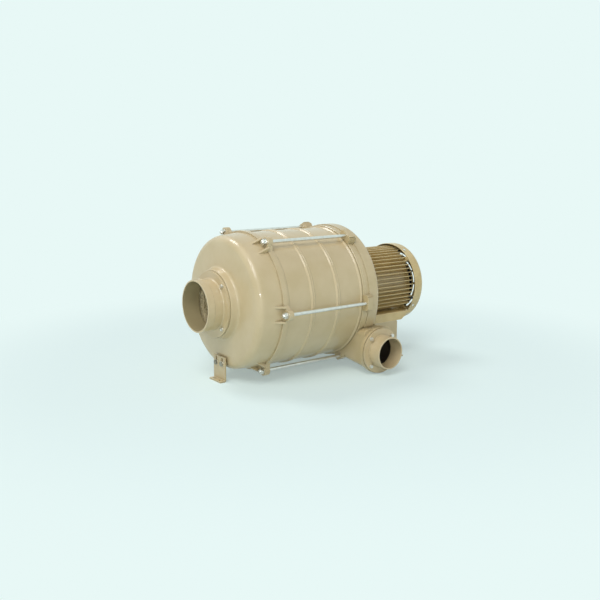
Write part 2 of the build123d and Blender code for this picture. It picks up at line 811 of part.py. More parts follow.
# Shaft, from the nose nut to the cooling fan
core_end = core_start + rotor_core_length
with BuildPart() as shaft:
    add(turned([
        (thread_end - shaft_thread_length, 0),
        (thread_end - shaft_thread_length, shaft_thread_radius - 1.5),
        (thread_end - shaft_thread_length + 1.5, shaft_thread_radius),
        (thread_end, shaft_thread_radius),
        (thread_end, shaft_seat_radius),
        (shoulder_x, shaft_seat_radius),
        (shoulder_x, drive_journal_radius + 1),
        (drive_bearing_x - 6, drive_journal_radius + 1),
        (drive_bearing_x - 6, drive_journal_radius),
        (drive_bearing_x + drive_bearing_width, drive_journal_radius),
        (drive_bearing_x + drive_bearing_width, drive_journal_radius + 3),
        (core_start, drive_journal_radius + 3),
        (core_start, core_seat_radius),
        (core_end, core_seat_radius),
        (core_end, rear_journal_radius + 3),
        (rear_bearing_x - rear_bearing_width, rear_journal_radius + 3),
        (rear_bearing_x - rear_bearing_width, rear_journal_radius),
        (rear_bearing_x + 4, rear_journal_radius),
        (rear_bearing_x + 4, fan_seat_radius),
        (fan_start + cooling_fan_depth + 2, fan_seat_radius),
        (fan_start + cooling_fan_depth + 2, 0),
    ]))
    with BuildSketch(Plane.XY.offset(shaft_seat_radius - key_depth)):
        with Locations(((thread_end + impeller_backs[-1]) / 2, 0)):
            Rectangle(impeller_backs[-1] - thread_end, key_width)
    extrude(amount=key_height, mode=Mode.SUBTRACT)
save(shaft.part, "shaft")

nose_washer = 4.0
nose_nut = 16.0
with BuildPart() as shaft_washer:
    with BuildSketch(Plane.YZ.offset(nose_face)):
        Circle(impeller_hub_radius - 3)
        Circle(shaft_thread_radius + slip_clearance, mode=Mode.SUBTRACT)
    extrude(amount=-nose_washer)
save(shaft_washer.part, "shaft_washer")

with BuildPart() as shaft_nut:
    with BuildSketch(Plane.YZ.offset(nose_face - nose_washer)):
        RegularPolygon(17.5, 6)
        Circle(shaft_thread_radius, mode=Mode.SUBTRACT)
    extrude(amount=-nose_nut)
save(shaft_nut.part, "shaft_nut")

# Motor: drive-end shield with the mounting flange, seal bore and bearing seat
shield_bore = drive_journal_radius + 1.5
with BuildPart() as drive_end_shield:
    add(turned([
        (rear_face - motor_spigot_depth, shield_bore),
        (rear_face - motor_spigot_depth, motor_spigot_radius - slip_clearance),
        (rear_face, motor_spigot_radius - slip_clearance),
        (rear_face, motor_flange_radius),
        (frame_start, motor_flange_radius),
        (frame_start, frame_bore_radius - slip_clearance),
        (frame_start + 6, frame_bore_radius - slip_clearance),
        (frame_start + 6, drive_bearing_outer_radius + 12),
        (drive_bearing_x + drive_bearing_width, drive_bearing_outer_radius + 8),
        (drive_bearing_x + drive_bearing_width, drive_bearing_outer_radius + press_clearance),
        (drive_bearing_x, drive_bearing_outer_radius + press_clearance),
        (drive_bearing_x, shield_bore),
    ]))
    with BuildSketch(Plane.YZ.offset(rear_face)):
        with PolarLocations(motor_bolt_radius, 4, start_angle=45):
            Circle(motor_bolt_diameter / 2)
    extrude(amount=motor_flange_thickness, mode=Mode.SUBTRACT)
save(drive_end_shield.part, "drive_end_shield")


def bearing_ring(inner, outer, start, width):
    with BuildPart() as ring:
        with BuildSketch(Plane.YZ.offset(start)):
            Circle(outer)
            Circle(inner, mode=Mode.SUBTRACT)
        extrude(amount=width)
    return ring.part


def split_radius(inner, outer):
    return inner + bearing_split * (outer - inner)


drive_split = split_radius(drive_journal_radius, drive_bearing_outer_radius)
rear_split = split_radius(rear_journal_radius, rear_bearing_outer_radius)
rear_bearing_start = rear_bearing_x - rear_bearing_width
save(
    bearing_ring(drive_split, drive_bearing_outer_radius, drive_bearing_x, drive_bearing_width),
    "drive_bearing_outer",
)
drive_bearing_bore = drive_journal_radius + press_clearance
save(
    bearing_ring(drive_bearing_bore, drive_split - running_clearance, drive_bearing_x, drive_bearing_width),
    "drive_bearing_inner",
)
save(
    bearing_ring(rear_split, rear_bearing_outer_radius, rear_bearing_start, rear_bearing_width),
    "rear_bearing_outer",
)
rear_bearing_bore = rear_journal_radius + press_clearance
save(
    bearing_ring(rear_bearing_bore, rear_split - running_clearance, rear_bearing_start, rear_bearing_width),
    "rear_bearing_inner",
)

# Motor frame: finned barrel with a foot skirt on each side
fin_span = 180 - 2 * fin_lowest_angle
fin_count = int(fin_span // fin_step) + 1
skirt_end = frame_end - skirt_slant
with BuildPart() as motor_frame:
    with BuildSketch(Plane.YZ.offset(frame_start)):
        Circle(frame_radius)
        with PolarLocations(0, fin_count, fin_lowest_angle, (fin_count - 1) * fin_step):
            Polygon(
                (frame_radius - 1, -fin_thickness / 2),
                (fin_radius, -fin_thickness / 2 + 0.5),
                (fin_radius, fin_thickness / 2 - 0.5),
                (frame_radius - 1, fin_thickness / 2),
                align=None,
            )
    extrude(amount=frame_length)
    for side in (-1, 1):
        wall_y = side * (motor_foot_half_width - motor_foot_wall / 2)
        with BuildSketch(Plane.XZ.offset(-wall_y)):
            with BuildLine():
                Polyline(
                    (frame_start, -skirt_top),
                    (frame_start, -motor_foot_height),
                    (skirt_end, -motor_foot_height),
                    (frame_end, -skirt_top),
                    close=True,
                )
            make_face()
        extrude(amount=motor_foot_wall / 2, both=True)
        with BuildSketch(Plane.YZ.offset(frame_start)):
            Polygon(
                (side * motor_foot_half_width, -motor_foot_height),
                (side * motor_foot_half_width, -motor_foot_height + motor_foot_wall),
                (side * motor_foot_root_y, -motor_foot_height + motor_foot_wall + 22),
                (side * motor_foot_root_y, -motor_foot_height),
                align=None,
            )
        extrude(amount=skirt_end - frame_start)
        with BuildSketch(Plane.YZ.offset(frame_start)):
            Polygon(
                (side * motor_foot_half_width, -skirt_top),
                (side * motor_foot_half_width, -skirt_top - motor_foot_wall),
                (side * (frame_radius - 32), -skirt_top - motor_foot_wall),
                (side * (frame_radius - 32), -skirt_top),
                align=None,
            )
        extrude(amount=frame_length)
    with BuildSketch(Plane.YZ.offset(frame_start)):
        Circle(frame_bore_radius)
    extrude(amount=frame_length, mode=Mode.SUBTRACT)
    with BuildSketch(Plane.YZ.offset(terminal_pad_x)):
        with Locations(((terminal_seat_y + frame_radius - 6) / 2, 0)):
            Rectangle(terminal_seat_y - frame_radius + 6, terminal_size - 24)
    extrude(amount=terminal_size - 24)
    with BuildSketch(Plane(origin=(pedestal_middle, 0, -motor_foot_height))):
        with GridLocations(motor_foot_bolt_pitch, 2 * motor_foot_bolt_y, 2, 2):
            Circle(motor_foot_bolt_diameter / 2)
    extrude(amount=motor_foot_bolt_depth, mode=Mode.SUBTRACT)
save(motor_frame.part, "motor_frame")

# Stator core, its end windings and the rotor's core
save(
    turned([
        (stator_start, stator_bore_radius),
        (stator_start, frame_bore_radius - press_clearance),
        (stator_start + stator_length, frame_bore_radius - press_clearance),
        (stator_start + stator_length, stator_bore_radius),
    ]),
    "stator_core",
)
with BuildPart() as stator_windings:
    for start, reach in ((stator_start, -winding_reach), (stator_start + stator_length, winding_reach)):
        add(turned([
            (start, stator_bore_radius + 5),
            (start, frame_bore_radius - 8),
            (start + reach * 0.7, frame_bore_radius - 8),
            (start + reach, frame_bore_radius - 14),
            (start + reach, stator_bore_radius + 9),
            (start + reach * 0.7, stator_bore_radius + 5),
        ]))
save(stator_windings.part, "stator_windings")

save(
    turned([
        (core_start, core_seat_radius + press_clearance),
        (core_start, rotor_core_radius),
        (core_end, rotor_core_radius),
        (core_end, core_seat_radius + press_clearance),
    ]),
    "rotor_core",
)

# Rear end shield with four arms that carry the fan cover
arm_length = 16.0
arm_inner_radius = fan_cover_radius - fan_cover_wall - 14.0
with BuildPart() as rear_end_shield:
    add(turned([
        (frame_end - 6, frame_bore_radius - 10),
        (frame_end - 6, frame_bore_radius - slip_clearance),
        (frame_end, frame_bore_radius - slip_clearance),
        (frame_end, frame_radius),
        (frame_end + cover_gap - 0.5, frame_radius),
        (frame_end + cover_gap - 0.5, rear_journal_radius + 1.5),
        (rear_bearing_x, rear_journal_radius + 1.5),
        (rear_bearing_x, rear_bearing_outer_radius + press_clearance),
        (rear_bearing_start, rear_bearing_outer_radius + press_clearance),
        (rear_bearing_start, rear_bearing_outer_radius + 8),
        (frame_end - 6, rear_bearing_outer_radius + 12),
    ]))
    with BuildSketch(Plane.YZ.offset(frame_end)):
        with PolarLocations(0, 4, start_angle=45):
            Polygon(
                (frame_radius - 4, -9),
                (fan_cover_radius - fan_cover_wall - 0.5, -7),
                (fan_cover_radius - fan_cover_wall - 0.5, 7),
                (frame_radius - 4, 9),
                align=None,
            )
    extrude(amount=cover_gap + 1)
    with BuildSketch(Plane.YZ.offset(frame_end + cover_gap)):
        with PolarLocations(0, 4, start_angle=45):
            Polygon(
                (arm_inner_radius, -7),
                (fan_cover_radius - fan_cover_wall - 0.5, -7),
                (fan_cover_radius - fan_cover_wall - 0.5, 7),
                (arm_inner_radius, 7),
                align=None,
            )
    extrude(amount=arm_length)
    for angle in arm_angles:
        with BuildSketch(outward_plane(angle, fan_cover_radius - fan_cover_wall)):
            with Locations((fan_cover_start + arm_length / 2, 0)):
                Circle(cover_screw_diameter / 2)
        extrude(amount=-cover_screw_reach - 1, mode=Mode.SUBTRACT)
save(rear_end_shield.part, "rear_end_shield")

# Motor flange bolts, heads inside the collecting chamber and threads in the motor's flange
chamber_plane = Plane(origin=(chamber_end, 0, 0), x_dir=(0, 1, 0), z_dir=(-1, 0, 0))
with BuildPart() as motor_flange_bolts:
    with Locations(chamber_plane):
        with PolarLocations(motor_bolt_radius, 4, start_angle=45):
            add(hex_bolt(motor_bolt_diameter, rear_wall + motor_flange_thickness, motor_bolt_head))
save(motor_flange_bolts.part, "motor_flange_bolts")

# Cooling fan on the shaft's rear end
with BuildPart() as cooling_fan:
    with BuildSketch(Plane.YZ.offset(fan_start)):
        Circle(cooling_fan_radius - 4)
        Circle(fan_seat_radius + press_clearance, mode=Mode.SUBTRACT)
    extrude(amount=3)
    with BuildSketch(Plane.YZ.offset(fan_start)):
        Circle(fan_seat_radius + 11)
        Circle(fan_seat_radius + press_clearance, mode=Mode.SUBTRACT)
    extrude(amount=cooling_fan_depth)
    with BuildSketch(Plane.YZ.offset(fan_start)):
        with PolarLocations((cooling_fan_radius + fan_seat_radius + 9) / 2, cooling_fan_blades):
            Rectangle(cooling_fan_radius - fan_seat_radius - 9, 3)
    extrude(amount=cooling_fan_depth)
save(cooling_fan.part, "cooling_fan")

# Fan cover: a pressed bowl with a ring grille in its end
grille_rings = int((fan_cover_radius - fan_cover_edge - grille_hub_radius) // grille_ring_pitch)
with BuildPart() as fan_cover:
    with BuildSketch(Plane.YZ.offset(fan_cover_start)):
        Circle(fan_cover_radius)
    extrude(amount=fan_cover_depth)
    fillet(fan_cover.faces().sort_by(Axis.X)[-1].edges(), fan_cover_edge)
    offset(amount=-fan_cover_wall, openings=fan_cover.faces().sort_by(Axis.X)[0])
    with BuildSketch(Plane.YZ.offset(fan_cover_end)):
        for ring in reversed(range(grille_rings)):
            slot_radius = grille_hub_radius + (ring + 0.5) * grille_ring_pitch
            Circle(slot_radius + grille_slot_width / 2)
            Circle(slot_radius - grille_slot_width / 2, mode=Mode.SUBTRACT)
        with PolarLocations(0, 3):
            Rectangle(2 * fan_cover_radius, 8, mode=Mode.SUBTRACT)
    extrude(amount=-fan_cover_wall, mode=Mode.SUBTRACT)
    for angle in arm_angles:
        with BuildSketch(outward_plane(angle, arm_inner_radius)):
            with Locations((fan_cover_start + arm_length / 2, 0)):
                Circle(cover_screw_diameter / 2 + 0.3)
        extrude(amount=fan_cover_radius - arm_inner_radius + 1, mode=Mode.SUBTRACT)
save(fan_cover.part, "fan_cover")

with BuildPart() as fan_cover_screws:
    for angle in arm_angles:
        with BuildSketch(outward_plane(angle, fan_cover_radius)):
            with Locations((fan_cover_start + arm_length / 2, 0)):
                Circle(cover_screw_diameter * 0.9)
        extrude(amount=cover_screw_diameter * 0.6)
        with BuildSketch(outward_plane(angle, fan_cover_radius)):
            with Locations((fan_cover_start + arm_length / 2, 0)):
                Circle(cover_screw_diameter / 2)
        extrude(amount=-fan_cover_wall - cover_screw_reach)
save(fan_cover_screws.part, "fan_cover_screws")

# Terminal box, lid, lid screws and cable gland
lid_seat_y = terminal_seat_y + terminal_height
terminal_centre_x = terminal_x + terminal_size / 2
box_plane = Plane(origin=(terminal_centre_x, terminal_seat_y, 0), x_dir=(1, 0, 0), z_dir=(0, 1, 0))
lid_plane = box_plane.offset(terminal_height)
screw_reach = terminal_size - 16
with BuildPart() as terminal_box:
    with BuildSketch(box_plane):
        RectangleRounded(terminal_size, terminal_size, 8)
    extrude(amount=terminal_height)
    with BuildSketch(box_plane.offset(terminal_wall)):
        RectangleRounded(terminal_size - 2 * terminal_wall, terminal_size - 2 * terminal_wall, 4)
    extrude(amount=terminal_height, mode=Mode.SUBTRACT)
    with BuildSketch(box_plane):
        with GridLocations(screw_reach, screw_reach, 2, 2):
            Circle(6)
    extrude(amount=terminal_height)
    with BuildSketch(lid_plane):
        with GridLocations(screw_reach, screw_reach, 2, 2):
            Circle(2.5)
    extrude(amount=-14, mode=Mode.SUBTRACT)
    gland_mouth = Plane(
        origin=(terminal_centre_x, terminal_seat_y + terminal_height / 2, -terminal_size / 2),
        x_dir=(1, 0, 0),
        z_dir=(0, 0, -1),
    )
    with BuildSketch(gland_mouth):
        Circle(gland_radius - 2)
    extrude(amount=-terminal_wall, mode=Mode.SUBTRACT)
save(terminal_box.part, "terminal_box")

with BuildPart() as terminal_lid:
    with BuildSketch(lid_plane):
        RectangleRounded(terminal_size, terminal_size, 8)
    extrude(amount=terminal_lid_thickness)
    chamfer(terminal_lid.faces().sort_by(Axis.Y)[-1].edges(), 2)
    with BuildSketch(lid_plane):
        with GridLocations(screw_reach, screw_reach, 2, 2):
            Circle(3)
    extrude(amount=terminal_lid_thickness, mode=Mode.SUBTRACT)
save(terminal_lid.part, "terminal_lid")

with BuildPart() as terminal_lid_screws:
    with BuildSketch(lid_plane.offset(terminal_lid_thickness)):
        with GridLocations(screw_reach, screw_reach, 2, 2):
            Circle(4.5)
    extrude(amount=3)
    with BuildSketch(lid_plane.offset(terminal_lid_thickness)):
        with GridLocations(screw_reach, screw_reach, 2, 2):
            Circle(2.5)
    extrude(amount=-terminal_lid_thickness - 12)
save(terminal_lid_screws.part, "terminal_lid_screws")

with BuildPart() as cable_gland:
    with BuildSketch(gland_mouth):
        Circle(gland_radius - 2)
    extrude(amount=-terminal_wall - 4)
    with BuildSketch(gland_mouth):
        RegularPolygon(gland_radius + 2, 6)
    extrude(amount=7)
    with BuildSketch(gland_mouth.offset(7)):
        Circle(gland_radius)
    extrude(amount=14, taper=8)
    with BuildSketch(gland_mouth.offset(21)):
        Circle(gland_radius - 7)
    extrude(amount=-25 - terminal_wall, mode=Mode.SUBTRACT)
save(cable_gland.part, "cable_gland")

# Front foot: a folded bracket with two upright slots on the cover and two holes in its toe
with BuildPart() as front_foot:
    with BuildSketch(Plane.XZ):
        with BuildLine():
            FilletPolyline(
                (cover_face - front_foot_toe, -shaft_height + foot_plate / 2),
                (cover_face - foot_plate / 2, -shaft_height + foot_plate / 2),
                (cover_face - foot_plate / 2, -front_foot_top),
                radius=foot_plate * 0.8,
            )
        trace(line_width=foot_plate)
    extrude(amount=front_foot_width / 2, both=True)
    with BuildSketch(Plane.YZ.offset(cover_face - foot_plate)):
        slot_z = front_foot_slot_travel / 2 - front_foot_bolt_drop
        with Locations(*[(side * front_foot_slot_pitch / 2, slot_z) for side in (-1, 1)]):
            SlotCenterToCenter(front_foot_slot_travel, front_foot_slot_width, rotation=90)
    extrude(amount=foot_plate, mode=Mode.SUBTRACT)
    with BuildSketch(Plane(origin=(cover_face - 0.6 * front_foot_toe, 0, -shaft_height))):
        with Locations((0, -front_foot_slot_pitch / 2), (0, front_foot_slot_pitch / 2)):
            Circle(foot_hole_diameter / 2)
    extrude(amount=foot_plate, mode=Mode.SUBTRACT)
save(front_foot.part, "front_foot")

foot_bolt_origin = (cover_face - foot_plate, 0, -front_foot_bolt_drop)
foot_bolt_plane = Plane(origin=foot_bolt_origin, x_dir=(0, 1, 0), z_dir=(-1, 0, 0))
with BuildPart() as front_foot_washers:
    with Locations(foot_bolt_plane):
        with GridLocations(front_foot_slot_pitch, 0, 2, 1):
            add(washer(front_bolt_size, flange_washer))
save(front_foot_washers.part, "front_foot_washers")

with BuildPart() as front_foot_bolts:
    with Locations(foot_bolt_plane.offset(flange_washer)):
        with GridLocations(front_foot_slot_pitch, 0, 2, 1):
            add(hex_bolt(front_bolt_size, front_bolt_length + flange_washer, flange_bolt_head))
save(front_foot_bolts.part, "front_foot_bolts")

# Pedestal: folded sheet under the motor's feet, closed by two side sheets, with a toe at each end
pedestal_top = -motor_foot_height - pedestal_sheet / 2
pedestal_floor = -shaft_height + pedestal_sheet / 2
with BuildPart() as pedestal:
    with BuildSketch(Plane.XZ):
        with BuildLine():
            FilletPolyline(
                (pedestal_start - pedestal_toe, pedestal_floor),
                (pedestal_start, pedestal_floor),
                (pedestal_start, pedestal_top),
                (pedestal_end, pedestal_top),
                (pedestal_end, pedestal_floor),
                (pedestal_end + pedestal_toe, pedestal_floor),
                radius=pedestal_sheet * 0.8,
            )
        trace(line_width=pedestal_sheet)
    extrude(amount=motor_foot_half_width, both=True)
    toe_pitch = pedestal_end - pedestal_start + pedestal_toe + pedestal_sheet / 2
    with BuildSketch(Plane(origin=(pedestal_middle, 0, -shaft_height))):
        with GridLocations(toe_pitch, 0, 2, 1):
            Rectangle(pedestal_toe - pedestal_sheet / 2, 2 * (motor_foot_half_width + pedestal_toe_overhang))
    extrude(amount=pedestal_sheet)
    for side in (-1, 1):
        with BuildSketch(Plane.XZ.offset(-side * (motor_foot_half_width - pedestal_sheet / 2))):
            with BuildLine():
                Polyline(
                    (pedestal_start, pedestal_top),
                    (pedestal_end, pedestal_top),
                    (pedestal_end, pedestal_floor + pedestal_sheet),
                    (pedestal_start, pedestal_floor + pedestal_sheet),
                    close=True,
                )
            make_face()
        extrude(amount=pedestal_sheet / 2, both=True)
    with BuildSketch(Plane(origin=(pedestal_middle, 0, -motor_foot_height))):
        with GridLocations(motor_foot_bolt_pitch, 2 * motor_foot_bolt_y, 2, 2):
            Circle(motor_foot_bolt_diameter / 2 + 0.5)
    extrude(amount=-pedestal_sheet, mode=Mode.SUBTRACT)
    with BuildSketch(Plane(origin=(pedestal_middle, 0, -shaft_height))):
        with GridLocations(toe_pitch, 2 * motor_foot_bolt_y, 2, 2):
            Circle(foot_hole_diameter / 2)
    extrude(amount=pedestal_sheet, mode=Mode.SUBTRACT)
save(pedestal.part, "pedestal")

# Bolts through the pedestal's top into the motor's feet, heads below
pedestal_bolt_plane = Plane(
    origin=(pedestal_middle, 0, -motor_foot_height - pedestal_sheet), x_dir=(1, 0, 0), z_dir=(0, 0, -1)
)
with BuildPart() as pedestal_bolts:
    with Locations(pedestal_bolt_plane):
        with GridLocations(motor_foot_bolt_pitch, 2 * motor_foot_bolt_y, 2, 2):
            add(hex_bolt(motor_foot_bolt_diameter, pedestal_sheet + motor_foot_bolt_depth - 1, 6.5))
save(pedestal_bolts.part, "pedestal_bolts")
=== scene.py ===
# %% [markdown]
# # Multistage blower
# A round casing of cast stages is clamped by tie rods between a domed front cover
# and a rear casing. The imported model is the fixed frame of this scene: its pieces
# keep their sizes and places, and this script adds the finishes and the fine detail
# that the solids leave out.

# %% Load the frame
import json
import math

import bmesh
import bpy
from mathutils import Matrix, Vector


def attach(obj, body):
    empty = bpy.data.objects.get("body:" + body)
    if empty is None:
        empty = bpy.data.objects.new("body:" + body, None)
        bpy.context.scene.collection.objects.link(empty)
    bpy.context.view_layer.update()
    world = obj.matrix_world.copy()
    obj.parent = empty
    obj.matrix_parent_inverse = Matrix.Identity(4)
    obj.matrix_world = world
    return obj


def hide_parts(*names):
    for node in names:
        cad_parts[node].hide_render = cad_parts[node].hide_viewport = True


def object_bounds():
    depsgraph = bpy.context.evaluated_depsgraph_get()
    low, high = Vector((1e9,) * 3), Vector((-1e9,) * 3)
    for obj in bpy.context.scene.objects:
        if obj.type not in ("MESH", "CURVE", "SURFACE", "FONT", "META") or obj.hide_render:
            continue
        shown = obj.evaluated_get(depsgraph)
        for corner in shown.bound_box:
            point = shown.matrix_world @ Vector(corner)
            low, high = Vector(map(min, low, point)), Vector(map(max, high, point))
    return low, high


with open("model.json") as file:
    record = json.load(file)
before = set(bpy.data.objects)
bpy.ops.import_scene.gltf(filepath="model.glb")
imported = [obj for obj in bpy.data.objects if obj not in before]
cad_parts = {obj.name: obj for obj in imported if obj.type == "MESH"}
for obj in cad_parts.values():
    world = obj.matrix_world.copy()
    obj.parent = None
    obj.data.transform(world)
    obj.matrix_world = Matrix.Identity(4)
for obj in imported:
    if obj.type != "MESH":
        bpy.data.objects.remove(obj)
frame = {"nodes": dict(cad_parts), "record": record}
cad_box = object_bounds()
MM = 0.001
print("nodes", len(frame["nodes"]), "box", cad_box)

# %% [markdown]
# ## Camera
# The camera stands in front of the inlet and to its left, a little above the shaft.
# The place and turn come from the circles of the drum and the collars as they are
# foreshortened in the photograph, so the lens is the photograph's own.

# %% Camera
camera_place = Vector((-1.0636, -1.9013, 0.4323))
camera_heading = math.radians(52.77)
camera_drop = math.radians(10.81)
camera_roll = math.radians(-0.21)
focal_pixels = 761.5
image_pixels = 600
sensor_mm = 36.0
stage_size = 60

camera_data = bpy.data.cameras.new("camera")
camera_data.sensor_width = sensor_mm
camera_data.lens = focal_pixels / image_pixels * sensor_mm
camera_data.clip_end = stage_size
camera = bpy.data.objects.new("camera", camera_data)
bpy.context.collection.objects.link(camera)
level = math.cos(camera_drop)
aim = Vector((level * math.cos(camera_heading), level * math.sin(camera_heading), -math.sin(camera_drop)))
turn = aim.to_track_quat("-Z", "Y").to_matrix().to_4x4()
camera.matrix_world = Matrix.Translation(camera_place) @ turn @ Matrix.Rotation(-camera_roll, 4, "Z")
bpy.context.scene.camera = camera
bpy.context.scene.view_settings.view_transform = "Standard"
print("lens", round(camera_data.lens, 2))

# %% [markdown]
# ## Colours and nodes
# Colours are written as they look on a screen, so one function turns each hex value
# to the linear numbers that the shader wants. A second small function adds a shader
# node with its settings and its links, which keeps each material to a few lines.
# Patterns are laid on the piece's own coordinates, which don't depend on the view.


# %% Helpers for materials
def colour(hex_value):
    channels = [int(hex_value[i : i + 2], 16) / 255 for i in (1, 3, 5)]
    return tuple(c / 12.92 if c <= 0.04045 else ((c + 0.055) / 1.055) ** 2.4 for c in channels) + (1.0,)


def grey(level):
    # A linear grey for a mask.
    return (level, level, level, 1.0)


def add_node(tree, kind, settings=None, inputs=None):
    node = tree.nodes.new(kind)
    for name, value in (settings or {}).items():
        setattr(node, name, value)
    for name, value in (inputs or {}).items():
        if isinstance(value, bpy.types.NodeSocket):
            tree.links.new(value, node.inputs[name])
        else:
            node.inputs[name].default_value = value
    return node


def new_material(name):
    # Gives the material, its empty node tree and the coordinates for its patterns.
    material = bpy.data.materials.new(name)
    material.use_nodes = True
    tree = material.node_tree
    tree.nodes.clear()
    return material, tree, add_node(tree, "ShaderNodeTexCoord").outputs["Object"]


def finish_material(material, shader):
    output = add_node(material.node_tree, "ShaderNodeOutputMaterial")
    material.node_tree.links.new(shader.outputs[0], output.inputs["Surface"])
    return material


def set_ramp(ramp, low, high, first, second):
    # The ramp goes from the first colour to the second between the two positions.
    ramp.color_ramp.elements[0].position = low
    ramp.color_ramp.elements[0].color = first
    ramp.color_ramp.elements[1].position = high
    ramp.color_ramp.elements[1].color = second
    return ramp.outputs["Color"]


def pattern_scale(millimetres):
    # Noise cells per metre for a pattern whose cells are this many millimetres wide.
    return 1000.0 / millimetres


print("tan", [round(v, 3) for v in colour("#C6B78F")])

# %% [markdown]
# ## Enamel over cast metal
# The casing is cast iron under a sprayed tan machinery enamel. Four things tell the
# eye so: a little dust and painted shade in the corners, a thin bright line on each
# edge that is partly worn paint and partly painted highlight, a faint waviness a few
# centimetres wide from the casting, and the fine orange peel of the spray. Each has a
# helper here. The dust and painted shade lie where ambient occlusion finds a corner
# within 9 mm, and noise frays its rim.

# %% Dust and painted shade in the corners
corner_shade_reach = 9.0 * MM


def dust_and_shade_in_corners(tree, place, paint, dust_and_shade_colour):
    corners = add_node(tree, "ShaderNodeAmbientOcclusion", {"samples": 6}, {"Distance": corner_shade_reach})
    fray_noise = add_node(tree, "ShaderNodeTexNoise", None, {"Vector": place, "Scale": pattern_scale(6), "Detail": 4.0})
    # The noise moves the occlusion up or down by a quarter at most.
    frayed = add_node(
        tree, "ShaderNodeMath", {"operation": "MULTIPLY_ADD"}, {0: fray_noise.outputs["Fac"], 1: 0.5, 2: -0.25}
    )
    open_air = add_node(
        tree, "ShaderNodeMath", {"operation": "ADD"}, {0: corners.outputs["AO"], 1: frayed.outputs[0]}
    )
    # Corners, gaps between fins and joints are darkened, partly as dust and partly as painted shade.
    corner_ramp = add_node(tree, "ShaderNodeValToRGB", None, {"Fac": open_air.outputs[0]})
    dust_and_shade_mask = set_ramp(corner_ramp, 0.25, 0.80, grey(0.85), grey(0.0))
    mixed = add_node(
        tree, "ShaderNodeMixRGB", {"blend_type": "MIX"}, {"Fac": dust_and_shade_mask, "Color1": paint, "Color2": colour(dust_and_shade_colour)}
    )
    return mixed.outputs["Color"]


# %% [markdown]
# A cast and painted edge is never sharp. Rounding each one in the mesh would cost many
# faces, so the rounding is a shading trick: a Bevel node bends the normals near every
# sharp edge by about a millimetre. The same bent normal, compared with the flat one,
# gives a mask of the edges, and noise breaks that mask up into specks. There the paint
# is lighter, partly as worn paint and partly as a painted highlight along the edge.

# %% Worn edges with painted highlight
edge_radius = 1.3 * MM


def worn_and_lit_edges(tree, place, rounded, flat, paint, edge):
    bend = add_node(tree, "ShaderNodeVectorMath", {"operation": "DOT_PRODUCT"}, {0: rounded, 1: flat})
    edge_ramp = add_node(tree, "ShaderNodeValToRGB", None, {"Fac": bend.outputs["Value"]})
    edge_wear_and_highlight_mask = set_ramp(edge_ramp, 0.86, 0.985, grey(1.0), grey(0.0))
    speck_noise = add_node(tree, "ShaderNodeTexNoise", None, {"Vector": place, "Scale": pattern_scale(7), "Detail": 5.0})
    speck_ramp = add_node(tree, "ShaderNodeValToRGB", None, {"Fac": speck_noise.outputs["Fac"]})
    speck_mask = set_ramp(speck_ramp, 0.40, 0.58, grey(0.35), grey(0.9))
    lit_worn_mask = add_node(
        tree, "ShaderNodeMixRGB", {"blend_type": "MULTIPLY"}, {"Fac": 1.0, "Color1": edge_wear_and_highlight_mask, "Color2": speck_mask}
    )
    # Lightens the edges: worn paint and a painted highlight.
    mixed = add_node(
        tree,
        "ShaderNodeMixRGB",
        {"blend_type": "MIX"},
        {"Fac": lit_worn_mask.outputs["Color"], "Color1": paint, "Color2": colour(edge)},
    )
    return mixed.outputs["Color"]


# %% [markdown]
# The inside of a duct is painted darker than the outside, as painted shade where little
# light reaches in, but both are faces of one piece. So a mask finds the inside: what
# lies near the duct's axis and faces it.
# Two limits along Y keep it off the drum behind the duct and off the flange's face.


# %% Painted shade inside a duct
def painted_duct_shade(tree, place, flat, paint, inside, middle, across, radius, deepest_y=1.0, least_facing_y=-2.0):
    # The defaults of the two limits leave nothing out.
    from_middle = add_node(tree, "ShaderNodeVectorMath", {"operation": "SUBTRACT"}, {0: place, 1: middle})
    flattened = add_node(
        tree, "ShaderNodeVectorMath", {"operation": "MULTIPLY"}, {0: from_middle.outputs[0], 1: across}
    )
    distance = add_node(tree, "ShaderNodeVectorMath", {"operation": "LENGTH"}, {0: flattened.outputs[0]})
    outward = add_node(tree, "ShaderNodeVectorMath", {"operation": "DOT_PRODUCT"}, {0: flattened.outputs[0], 1: flat})
    depth = add_node(tree, "ShaderNodeSeparateXYZ", None, {"Vector": place})
    facing = add_node(tree, "ShaderNodeSeparateXYZ", None, {"Vector": flat})
    in_duct = None
    for value, operation, limit in (
        (distance.outputs["Value"], "LESS_THAN", radius),
        (outward.outputs["Value"], "LESS_THAN", 0.0),
        (depth.outputs["Y"], "LESS_THAN", deepest_y),
        (facing.outputs["Y"], "GREATER_THAN", least_facing_y),
    ):
        test = add_node(tree, "ShaderNodeMath", {"operation": operation}, {0: value, 1: limit}).outputs[0]
        if in_duct is not None:
            test = add_node(tree, "ShaderNodeMath", {"operation": "MULTIPLY"}, {0: in_duct, 1: test}).outputs[0]
        in_duct = test
    # Mixes in the inside colour, a painted shade, where the mask holds.
    mixed = add_node(
        tree, "ShaderNodeMixRGB", {"blend_type": "MIX"}, {"Fac": in_duct, "Color1": paint, "Color2": colour(inside)}
    )
    return mixed.outputs["Color"]


# %% [markdown]
# The relief is two layers of bump, which is enough because neither changes an outline:
# the casting's waves, up to 2 mm deep, and the orange peel on top of them. Orange peel
# is about one millimetre wide, too fine for this picture, so it is drawn at three.

# %% Enamel
peel_mm = 3
enamel_roughness = 0.40


def cast_skin(tree, place, normal, wave_mm):
    for cell_mm, depth in ((wave_mm, 2.0 * MM), (peel_mm, 0.3 * MM)):
        cells = {"Vector": place, "Scale": pattern_scale(cell_mm), "Detail": 2.0}
        height = add_node(tree, "ShaderNodeTexNoise", None, cells).outputs["Fac"]
        relief = {"Height": height, "Strength": 0.22, "Distance": depth, "Normal": normal}
        normal = add_node(tree, "ShaderNodeBump", None, relief).outputs["Normal"]
    return normal


